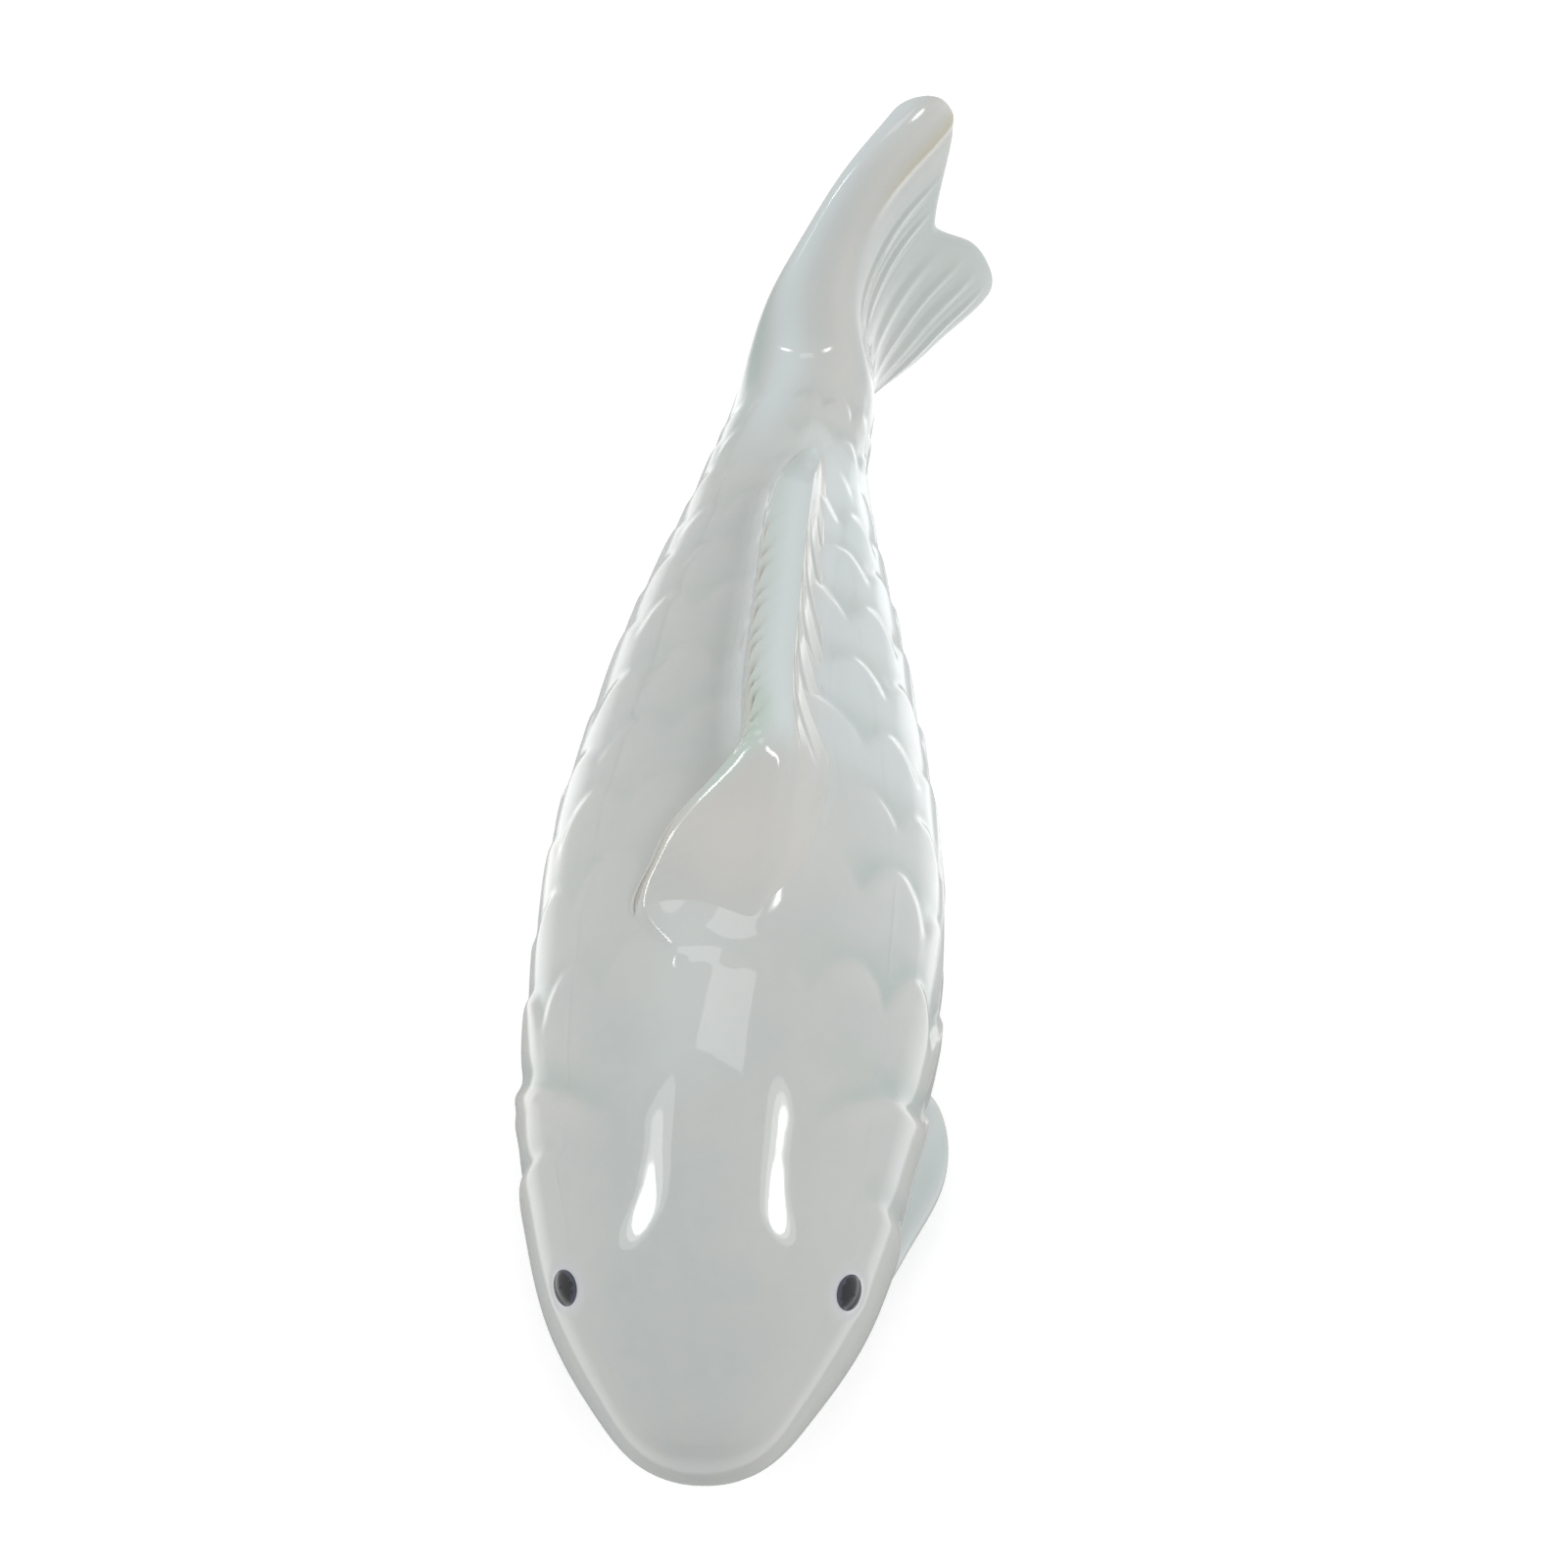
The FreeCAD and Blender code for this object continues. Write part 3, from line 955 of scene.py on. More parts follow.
@dataclass(frozen=True)
class Mouth:
    """Lips and the slit between them, low on the snout."""

    form: KoiForm
    drop: float = 3.9
    bow: float = 0.045
    front: Ramp = Ramp(-43.5, -47.0)
    corner: Ramp = Ramp(6.4, 4.6)
    lip: float = 0.18
    upper: Bump = Bump(0.95, 0.70)
    lower: Bump = Bump(-0.90, 0.70)
    slit: float = 0.45
    slit_line: Bump = Bump(0, 0.34)

    def height(self, smooth: np.ndarray) -> np.ndarray:
        """Height of the mouth on the smooth skin, in millimetres, by point."""
        snout = self.form.nose()
        across = smooth[..., 0] - snout[0]
        above = smooth[..., 2] - (snout[2] - self.drop - self.bow * across ** 2)
        lips = self.lip * (self.upper(above) + self.lower(above))
        wide = self.corner(np.abs(across)) * self.front(smooth[..., 1])
        return (lips - self.slit * self.slit_line(above)) * wide


@dataclass(frozen=True)
class TailCarving:
    """Rays of the tail's faces, the ridge along its upper lobe, and their glaze.

    Behind is the distance behind the stem, along the share of the way from the stem to the free
    edge, and part the share of the height from the lower edge.
    """

    form: KoiForm
    rays: tuple = (0.07, 0.16, 0.26, 0.37, 0.48, 0.59, 0.69)
    ray: float = 0.24
    ray_line: Bump = Bump(0, 0.32)
    ripple: float = 0.025
    ripples: int = 27
    ray_behind: Ramp = Ramp(2.0, 7.5)
    ray_along: Ramp = Ramp(0.88, 0.55)
    ray_low: Ramp = Ramp(0.02, 0.08)
    ray_top: Ramp = Ramp(0.76, 0.66)
    ridge: float = 0.22
    ridge_part: float = 0.885
    ridge_line: Bump = Bump(0, 0.7)
    ridge_behind: Ramp = Ramp(8.0, 13.0)
    ridge_along: Ramp = Ramp(0.99, 0.85)
    tan: float = 0.60
    tan_width: float = 0.034
    tan_behind: Ramp = Ramp(8.0, 15.0)
    fan: float = 0.36
    fan_behind: Ramp = Ramp(5.0, 11.0)
    fan_top: Ramp = Ramp(0.80, 0.66)

    def behind(self, smooth: np.ndarray) -> np.ndarray:
        """Distance behind the stem, by point."""
        return smooth[..., 1] - (self.form.body_length - self.form.nose_reach)

    def height(self, smooth: np.ndarray, turns: np.ndarray, along: np.ndarray) -> np.ndarray:
        """Height of the rays and the ridge.

        Args:
            smooth: the smooth skin of body and tail.
            turns: the columns' turns, in radians.
            along: share of the way over the tail, by row.

        Returns:
            Millimetres above the skin, 0 on the body.
        """
        behind = self.behind(smooth)
        left, part = self.form.tail_parts(turns)
        along = along[:, None]
        tall = np.ptp(smooth[..., 2], axis=1)[:, None]
        rays = sum(self.ray_line((part - centre) * tall) for centre in self.rays)
        rays = self.ray * rays + self.ripple * np.cos(TURN * self.ripples * part)
        rays = rays * self.ray_behind(behind) * self.ray_along(along)
        rays = rays * self.ray_low(part) * self.ray_top(part)
        ridge = self.ridge * self.ridge_line((part - self.ridge_part) * tall) * left
        return rays + ridge * self.ridge_behind(behind) * self.ridge_along(along)

    def tints(self, smooth: np.ndarray, turns: np.ndarray) -> Tints:
        """Tan along the ridge, where the glaze breaks, and deeper glaze on the fan."""
        behind = self.behind(smooth)
        left, part = self.form.tail_parts(turns)
        line = Bump(self.ridge_part, self.tan_width)(part) * left
        return {Tint.EDGE: self.tan * line * self.tan_behind(behind),
                Tint.POOL: self.fan * self.fan_behind(behind) * self.fan_top(part)}


@dataclass
class FinBlend:
    """How the back swells into the dorsal fin: one soft surface that both skins follow.

    Over is how far the fin's top lies above the back, and beyond the distance to the left of
    the hood's crisp margin.
    """

    fin_rings: np.ndarray
    back_rings: np.ndarray
    margin: np.ndarray
    across_ends: tuple = (-18.0, 18.1)
    along_ends: tuple = (-30.0, 46.1)
    grid: float = 0.2
    fall: float = 1.6
    spread: float = 1.5
    fillet: float = 1.1
    outside: float = 0.02
    hood_start: float = 1.6
    hood_end: float = 6.0
    fold: float = 0.15
    fold_pitch: float = 1.9
    fold_lean: float = 0.3
    fold_across: Bump = Bump(4.6, 2.6)
    fold_along: Bump = Bump(-3.4, 3.2)
    swell: float = 0.85
    swell_beyond: Bump = Bump(1.0, 3.2)
    swell_along: Bump = Bump(-6.5, 5.5)
    parting: float = 0.04
    parting_width: float = 0.3
    overlap: float = 0.5
    dive: float = 0.15
    soft_margin: Ramp = Ramp(0.1, 0.8)
    soft_hood: Ramp = Ramp(7.0, -3.0)
    soft_rear: Ramp = Ramp(28.0, 35.0)
    soft_back: Ramp = Ramp(-4.5, -1.5)
    soft_fin: Ramp = Ramp(-1.8, -0.5)
    slip_round: float = 0.15
    slip_margin: Ramp = Ramp(1.0, 3.0)
    slip_crest: Ramp = Ramp(-1.0, 4.0)
    slip_front: Ramp = Ramp(-28.0, -22.0)
    slip_rear: Ramp = Ramp(42.0, 37.0)
    # Painted light on the back along the fin's foot, where the fin shades it.
    painted_light_over: Bump = Bump(-1.5, 2.5)
    painted_light_along: Ramp = Ramp(-2.0, 4.0)
    warm_across: Bump = Bump(-0.3, 6.0)
    warm_along: Bump = Bump(-7.0, 6.0)
    soft: LevelMap = field(init=False)
    foot: LevelMap = field(init=False)
    fin: LevelMap = field(init=False)
    back: LevelMap = field(init=False)

    def __post_init__(self) -> None:
        """Makes the maps: the fin, the back, the soft hood over both, and the slip at the foot."""
        across = np.arange(*self.across_ends, self.grid)
        along = np.arange(*self.along_ends, self.grid)
        self.fin = LevelMap.over_rings(self.fin_rings, across, along, self.fall)
        self.back = LevelMap.over_rings(self.back_rings, across, along, self.fall)
        union = np.maximum(self.fin.height, self.back.height)
        wide, deep = np.meshgrid(across, along)
        beyond = self.beyond(wide, deep)
        inside = (beyond > self.hood_start) | (deep > self.hood_end)
        inside = np.where(inside, 1.0, self.outside)
        spread = (self.spread / self.grid,) * 2
        even = soften(union * inside, spread, False) / soften(inside, spread, False)
        folds = self.fold * np.cos(TURN * (wide - self.fold_lean * deep) / self.fold_pitch)
        folds = folds * self.fold_across(wide) * self.fold_along(deep)
        swell = self.swell * self.swell_beyond(beyond) * self.swell_along(deep)
        self.soft = LevelMap(across, along, even + swell + folds)
        spread = (self.fillet / self.grid,) * 2
        self.foot = LevelMap(across, along, soften(union, spread, False))

    def beyond(self, across: np.ndarray, along: np.ndarray) -> np.ndarray:
        """Distance to the left of the hood's crisp margin."""
        return across - np.interp(along, self.margin[:, 0], self.margin[:, 1])

    def share(self, across: np.ndarray, along: np.ndarray) -> np.ndarray:
        """How much the soft surface counts: on the hood inside its margin, and at the rear end."""
        hood = self.soft_margin(self.beyond(across, along)) * self.soft_hood(along)
        return np.maximum(hood, self.soft_rear(along))

    def filled(self, height: np.ndarray, other: np.ndarray, across: np.ndarray,
               along: np.ndarray) -> np.ndarray:
        """Heights with slip in the corner between back and fin.

        Args:
            height: heights of one skin.
            other: heights of the other one at the same places.
            across: the places on X.
            along: the places on Y.

        Returns:
            The new heights.
        """
        gain = self.foot.at(across, along) - np.maximum(height, other)
        gain = (gain + np.sqrt(gain ** 2 + self.slip_round ** 2) - self.slip_round) / 2
        reach = np.maximum(self.slip_margin(self.beyond(across, along)), self.slip_crest(along))
        return height + gain * reach * self.slip_front(along) * self.slip_rear(along)

    def raised_back(self, skin: np.ndarray) -> tuple[np.ndarray, np.ndarray]:
        """Heights of the back once it swells into the fin.

        Args:
            skin: points of the smooth back.

        Returns:
            The new heights, and how much the soft surface counts.
        """
        across, along, height = np.moveaxis(skin, -1, 0)
        over = self.fin.at(across, along) - height
        under_fin = height + self.dive * (over - self.overlap)
        merged = self.filled(height, under_fin, across, along)
        merged = merged - self.parting * Ramp(-self.parting_width, self.parting_width)(over)
        soft = self.soft.at(across, along) - self.parting * np.tanh(over / self.parting_width)
        share = self.share(across, along) * self.soft_back(over)
        return merged + share * (soft - merged), share

    def raised_fin(self, skin: np.ndarray) -> np.ndarray:
        """Heights of the fin once the back swells into it."""
        across, along, height = np.moveaxis(skin, -1, 0)
        over = height - self.back.at(across, along)
        merged = self.filled(height, height - over, across, along)
        soft = self.soft.at(across, along) + self.parting * np.tanh(over / self.parting_width)
        return merged + self.share(across, along) * self.soft_fin(over) * (soft - merged)

    def painted_fin_foot_light(self, skin: np.ndarray) -> np.ndarray:
        """Painted light on the back along the fin's foot, where the fin shades it, from 0 to 1."""
        across, along, height = np.moveaxis(skin, -1, 0)
        return self.painted_light_over(self.fin.at(across, along) - height) * self.painted_light_along(along)

    def warmth(self, skin: np.ndarray) -> np.ndarray:
        """Beige of the bulging hood, from 0 to 1."""
        return self.warm_across(skin[..., 0]) * self.warm_along(skin[..., 1])


@dataclass(frozen=True)
class BodyGlaze:
    """Where the glaze on the body lies deep, thin or pale, by relief, place and turn, and the
    painted light beside the dorsal fin's foot.
    """

    wide: tuple = (7.0, 8.0)
    near: tuple = (1.2, 1.2)
    full_relief: float = 0.15
    relief_share: float = 0.50
    stem: Ramp = Ramp(0.84, 0.96)
    warm_stem: tuple = (0.60, Bump(60, 20))
    warm_left: Bump = Bump(30, 34)
    warm_right: Bump = Bump(205, 22)
    warm_flanks: float = 0.30
    warm_shoulder: tuple = (0.35, Bump(152, 18), Ramp(0.56, 0.42))
    deep_stem: tuple = (0.75, Bump(142, 22))
    pale_stem: tuple = (0.90, Bump(106, 18))
    pale_nape: tuple = (0.30, Bump(100, 13), Ramp(0.24, 0.30), Ramp(0.46, 0.40))
    pale_flank: tuple = (0.65, Bump(30, 34), Ramp(0.30, 0.62))
    # Painted light beside the dorsal fin's foot, where the fin shades the back.
    painted_light_beside_fin: float = 0.5
    deep_over_pale: float = 0.9
    halo: tuple = (0.5, Ramp(3.0, 1.5))
    eye_groove: tuple = (0.10, Bump(1.75, 0.4))

    def tints(self, height: np.ndarray, place: np.ndarray, turn: np.ndarray, warmth: np.ndarray,
              painted_fin_foot_light: np.ndarray, tail: Tints) -> Tints:
        """Tints of the whole skin, but for the halo of the eyes.

        Args:
            height: relief in millimetres, by point.
            place: share of the body's length, by point.
            turn: degrees round the body, by point.
            warmth: beige of the dorsal fin's hood, by point.
            painted_fin_foot_light: painted light on the back beside the dorsal fin's foot, by
                point.
            tail: tints of the tail's own carving.

        Returns:
            The tints.
        """
        stem = self.stem(place)
        relief = soften(height, self.near, True) - soften(height, self.wide, True)
        relief = relief / self.full_relief
        flanks = self.warm_left(turn) + self.warm_right(turn)
        share, across, along = self.warm_shoulder
        warmth = (warmth + self.warm_stem[0] * stem * self.warm_stem[1](turn)
                  + self.warm_flanks * flanks * (1 - stem) + share * across(turn) * along(place))
        rise = np.maximum(np.clip(relief, 0, 1) * self.relief_share, warmth)
        pool = np.maximum(self.deep_stem[0] * stem * self.deep_stem[1](turn), tail[Tint.POOL])
        pool = np.maximum(np.clip(-relief, 0, 1) * self.relief_share, pool)
        # pale adds the pale glaze of the stem, the nape and the flank to the painted light beside
        # the dorsal fin's foot.
        share, across, start, end = self.pale_nape
        pale = (self.pale_stem[0] * stem * self.pale_stem[1](turn)
                + share * across(turn) * start(place) * end(place)
                + self.painted_light_beside_fin * painted_fin_foot_light)
        share, across, along = self.pale_flank
        round_left = np.where(turn > 270, turn - 360, turn)
        pale = pale + share * across(round_left) * along(place) * (1 - stem)
        return {Tint.POOL: pool, Tint.RISE: np.clip(rise, 0, 1), Tint.EDGE: tail[Tint.EDGE],
                Tint.PALE_AND_PAINTED_LIGHT: np.clip(pale, 0, 1) * (1 - self.deep_over_pale * pool)}


@dataclass
class KoiBody:
    """The glazed body and tail as one carved skin, cut into the pieces of the CAD.

    The tail's free edge is given as pairs of the share of the height from the lower edge and the
    place behind the stem as a share of the tail's length.
    """

    form: KoiForm
    fin: DorsalFin
    glaze: bpy.types.Material
    clay: bpy.types.Material
    body_rings: int = 400
    tail_rings: int = 96
    back_cells: int = 216
    belly_cells: int = 100
    inner_rings: int = 60
    inner_cells: int = 24
    sharp: float = 62
    vent_radius: float = 3.0
    vent_back: float = 9.0
    vent_deep: float = 8.0
    foot_rise: Ramp = Ramp(0.6, 2.6)
    fin_reach: float = 0.995
    tail_edge: tuple = ((-0.03, 0.80), (0.00, 0.86), (0.03, 0.90), (0.11, 0.935), (0.26, 0.905),
                        (0.44, 0.79), (0.69, 0.90), (0.86, 0.970), (0.94, 0.950), (0.98, 0.910),
                        (1.00, 0.87), (1.03, 0.79))
    tail_packing: float = 0.12
    edge_window: int = 12
    edge_least: float = 0.9
    edge_most: float = 3.2
    edge_power: float = 2.2

    def turns(self) -> np.ndarray:
        """Turns of the skin's columns in radians, over the back and then under the belly."""
        back = np.linspace(0, math.pi, self.back_cells + 1)
        belly = np.linspace(math.pi, TURN, self.belly_cells + 1)[1:-1]
        return np.concatenate([back, belly])

    def knots(self) -> tuple[np.ndarray, np.ndarray, int]:
        """Sections that the skin passes through.

        Returns:
            Their positions along the fish, their points, and the number of the stem's section.
        """
        form = self.form
        turns = form.ring_turns()
        body = [form.section(row, turns) for row in form.rows]
        mirrored = [np.roll(section, form.ring_points // 2, axis=0) for section in body[:2]]
        tail = [form.tail_section(row) for row in form.tail_rows]
        sections = np.array([mirrored[1], mirrored[0], np.tile(form.nose(), (form.ring_points, 1))]
                            + body + tail)
        flank = np.stack([form.rows[:, 0] * form.body_length, form.rows[:, 1] * form.half_width], 1)
        steps = np.linalg.norm(np.diff(np.vstack([[0, 0], flank]), axis=0), axis=1)
        along = np.concatenate([[0], np.cumsum(steps)])
        behind = along[-1] + form.tail_rows[:, 0] * form.tail_length
        knots = np.concatenate([[-along[2], -along[1]], along, behind])
        return knots, sections, len(form.rows) + 2

    def build(self) -> list[bpy.types.Object]:
        """Makes the back, the belly and the tail fin.

        Returns:
            The three pieces.
        """
        knots, sections, stem = self.knots()
        turns = self.turns()
        split = self.body_rings
        rings = ring_at(sections, turns * self.form.ring_points / TURN)
        smooth_body = spline_at(knots, rings, np.linspace(0, knots[stem], split + 1))
        smooth_tail = spline_at(knots, rings, self.tail_places(turns, knots[stem]))
        smooth = np.concatenate([smooth_body, self.rounded_tail(smooth_tail, turns)[1:]])
        normals = grid_normals(smooth)
        normals[0] = (0, -1, 0)
        self.fin.blend_with(smooth[:split + 1, :self.back_cells + 1])
        shift, tints = self.relief(smooth, normals, turns)
        shift[-1] = 0
        skin = smooth + shift
        normals[1:] = grid_normals(skin)[1:]
        across = list(range(self.back_cells + 1))
        back = self.shell("back_shell_glazed", skin[:split + 1], tints, across, 0, -1)
        across = list(range(self.back_cells, len(turns))) + [0]
        belly = self.shell("belly_shell_glazed", skin[:split + 1], tints, across, math.pi, 1)
        self.cut_foot(belly)
        self.cut_vent(belly)
        tail = self.tail(skin[split:], {key: value[split:] for key, value in tints.items()})
        for piece, node in ((back, "back_shell"), (belly, "belly_shell"), (tail, "tail_fin")):
            attach(piece, node, self.sharp)
            match_normals(piece, self.seams(skin), self.seams(normals))
        return [back, belly, tail]

    def seams(self, grid: np.ndarray) -> np.ndarray:
        """Rows of a grid that lie on the lines where two pieces meet."""
        split = self.body_rings
        return np.concatenate([grid[:split + 1, 0], grid[:split + 1, self.back_cells], grid[split]])

    def tail_places(self, turns: np.ndarray, stem_at: float) -> np.ndarray:
        """Where the tail's rings lie, so that the last one runs along the forked free edge.

        Args:
            turns: the columns' turns.
            stem_at: position of the stem.

        Returns:
            Positions, rings by columns.
        """
        edge = np.array(self.tail_edge)
        ends = spline_at(edge[:, 0], edge[:, None, 1:], self.form.tail_parts(turns)[1])[:, 0, 0]
        share = np.linspace(0, 1, self.tail_rings + 1)
        share = share + self.tail_packing * np.sin(math.pi * share) * share
        return stem_at + share[:, None] * ends[None, :] * self.form.tail_length

    def rounded_tail(self, skin: np.ndarray, turns: np.ndarray) -> np.ndarray:
        """Draws the tail's two faces together in a round free edge.

        Args:
            skin: the tail's skin.
            turns: the columns' turns.

        Returns:
            The rounded skin.
        """
        wanted = (math.pi - turns) % TURN
        mirror = [int(np.argmin(np.abs(np.angle(np.exp(1j * (turns - turn)))))) for turn in wanted]
        other = skin[:, mirror]
        centre, half = (skin + other) / 2, (skin - other) / 2
        thick = np.pad(np.linalg.norm(half[-1], axis=1), self.edge_window, mode="wrap")
        window = 2 * self.edge_window + 1
        reach = np.convolve(thick, np.ones(window) / window, "valid")
        left = np.linalg.norm(skin[-1] - skin, axis=2)
        into = np.clip(1 - left / np.clip(reach, self.edge_least, self.edge_most), 0, 1)
        return centre + half * np.sqrt(np.maximum(1 - into ** self.edge_power, 0))[..., None]

    def relief(self, smooth: np.ndarray, normals: np.ndarray,
               turns: np.ndarray) -> tuple[np.ndarray, Tints]:
        """Carving, swelling and glaze tints of the whole skin.

        Args:
            smooth: the smooth skin.
            normals: its normals.
            turns: the columns' turns.

        Returns:
            How far each point moves, in millimetres, and the tints.
        """
        form, blend, glaze, tail = self.form, self.fin.blend, BodyGlaze(), TailCarving(self.form)
        place = (smooth[..., 1] + form.nose_reach) / form.body_length
        turn = np.repeat(np.degrees(turns)[None, :], len(smooth), axis=0)
        top = (turn <= 180) & (place < self.fin_reach)
        along = np.clip((np.arange(len(smooth)) - self.body_rings) / self.tail_rings, 0, 1)
        raised, hood = blend.raised_back(smooth)
        height = ScaleCoat(form).carving(place, turn) * self.foot_rise(smooth[..., 2])
        height = height * (1 - np.where(top, hood, 0)) + tail.height(smooth, turns, along)
        height = height + Mouth(form).height(smooth)
        # Beside the dorsal fin's foot the tints carry painted light, where the fin shades the back.
        tints = glaze.tints(height, place, turn, np.where(top, blend.warmth(smooth), 0),
                            np.where(top, blend.painted_fin_foot_light(smooth), 0), tail.tints(smooth, turns))
        tints[Tint.HALO] = np.zeros_like(height)
        for name in ("eye_left", "eye_right"):
            low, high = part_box(name)
            off = np.linalg.norm(smooth - np.array((low + high) / 2) / MM, axis=2)
            halo = glaze.halo[0] * glaze.halo[1](off)
            tints[Tint.HALO] = np.maximum(tints[Tint.HALO], halo)
            height = height - glaze.eye_groove[0] * glaze.eye_groove[1](off)
        shift = normals * height[..., None]
        shift[..., 2] += np.where(top, raised - smooth[..., 2], 0)
        return shift, tints

    def shell(self, name: str, skin: np.ndarray, tints: Tints, columns: list[int],
              first_turn: float, down: int) -> bpy.types.Object:
        """One hollow half of the body, closed along the seam and at the stem.

        Args:
            name: name of the piece.
            skin: the whole body's skin.
            tints: the whole skin's tints.
            columns: the half's columns, in order.
            first_turn: turn of its first column.
            down: 1 where the half lies under the seam, -1 where it lies above.

        Returns:
            The closed shell.
        """
        outside = skin[:, columns]
        marks = {key: value[:len(skin)][:, columns] for key, value in tints.items()}
        outer = sculpted_grid(name, outside, marks)
        inside = self.hollow(first_turn)
        inner = sculpted_grid(name + "_hollow", inside, {}, outward=False)
        (rows, width), (inner_rows, inner_width) = outside.shape[:2], inside.shape[:2]
        count = rows * width
        order = inner.data.attributes[GRID_ORDER]
        values = np.empty(inner_rows * inner_width, np.int32)
        order.data.foreach_get("value", values)
        order.data.foreach_set("value", values + count)
        select_only(outer, inner)
        bpy.ops.object.join()
        dress(outer, self.glaze, self.clay)
        mesh = bmesh.new()
        mesh.from_mesh(outer.data)
        layer = mesh.verts.layers.int[GRID_ORDER]
        corner = {vertex[layer]: vertex for vertex in mesh.verts}
        seam_way = Vector((0, 0, down))
        centre = mesh.verts.new(self.form.stem() * MM)
        for column, inner_column in ((0, 0), (width - 1, inner_width - 1)):
            line = [row * width + column for row in range(rows)]
            core = [count + row * inner_width + inner_column for row in range(inner_rows)]
            for face in strip_faces(line, core, outside[:, column, 1], inside[:, inner_column, 1]):
                add_facing(mesh, [corner[index] for index in face], seam_way)
            add_facing(mesh, [corner[line[-1]], centre, corner[core[-1]]], seam_way)
        for first in range(count - width, count - 1):
            add_facing(mesh, [corner[first], corner[first + 1], centre], Vector((0, 1, 0)))
        mesh.to_mesh(outer.data)
        mesh.free()
        weld(outer)
        return outer

    def hollow(self, first_turn: float) -> np.ndarray:
        """Inner wall of one half, in millimetres, from its nose end to its stem end."""
        form = self.form
        wall_share = form.wall / form.body_length
        inner = [form.section(row, form.ring_turns(), form.wall) for row in form.rows[1:-1]]
        ends = [np.tile(end, (form.ring_points, 1))
                for end in (form.nose(wall_share), form.stem(1 - wall_share))]
        sections = np.array([ends[0]] + inner + [ends[1]])
        places = np.concatenate([[wall_share], form.rows[1:-1, 0], [1 - wall_share]])
        widths = np.concatenate([[0], form.rows[1:-1, 1] * form.half_width - form.wall, [0]])
        steps = np.hypot(np.diff(places * form.body_length), np.diff(widths))
        knots = np.concatenate([[0], np.cumsum(steps)])
        fine = first_turn + np.linspace(0, math.pi, self.inner_cells + 1)
        rings = ring_at(sections, fine * form.ring_points / TURN)
        return spline_at(knots, rings, np.linspace(0, knots[-1], self.inner_rings + 1))

    def cut_foot(self, belly: bpy.types.Object) -> None:
        """Cuts the flat foot and gives it bare clay."""
        select_only(belly)
        bpy.ops.object.mode_set(mode="EDIT")
        bpy.ops.mesh.select_all(action="SELECT")
        bpy.ops.mesh.bisect(plane_co=(0, 0, 0), plane_no=(0, 0, -1), use_fill=True,
                            clear_outer=True, threshold=1e-7)
        bpy.ops.object.mode_set(mode="OBJECT")
        for face in belly.data.polygons:
            if face.normal.z < -0.99 and abs(face.center.z) < 1e-6:
                face.material_index = 1

    def cut_vent(self, belly: bpy.types.Object) -> None:
        """Bores the vent through the foot."""
        bpy.ops.object.select_all(action="DESELECT")
        bpy.ops.mesh.primitive_cylinder_add(vertices=64, radius=self.vent_radius * MM,
                                            depth=self.vent_deep * MM,
                                            location=(0, self.vent_back * MM, 0))
        bore = bpy.context.active_object
        select_only(bore)
        bpy.ops.object.transform_apply(location=True, rotation=True, scale=True)
        dress(bore, self.clay)
        cut = belly.modifiers.new("vent", "BOOLEAN")
        cut.operation = "DIFFERENCE"
        cut.solver = "EXACT"
        cut.object = bore
        select_only(belly)
        bpy.ops.object.modifier_apply(modifier=cut.name)
        bpy.data.objects.remove(bore)

    def tail(self, skin: np.ndarray, tints: Tints) -> bpy.types.Object:
        """The forked tail fin, closed at the stem and along its free edge."""
        columns = list(range(skin.shape[1])) + [0]
        piece = sculpted_grid("tail_fin_glazed", skin[:, columns],
                              {key: value[:, columns] for key, value in tints.items()})
        dress(piece, self.glaze)
        weld(piece, 2e-6)
        close_holes(piece)
        return piece


# ---------------------------------------------------------------- fins


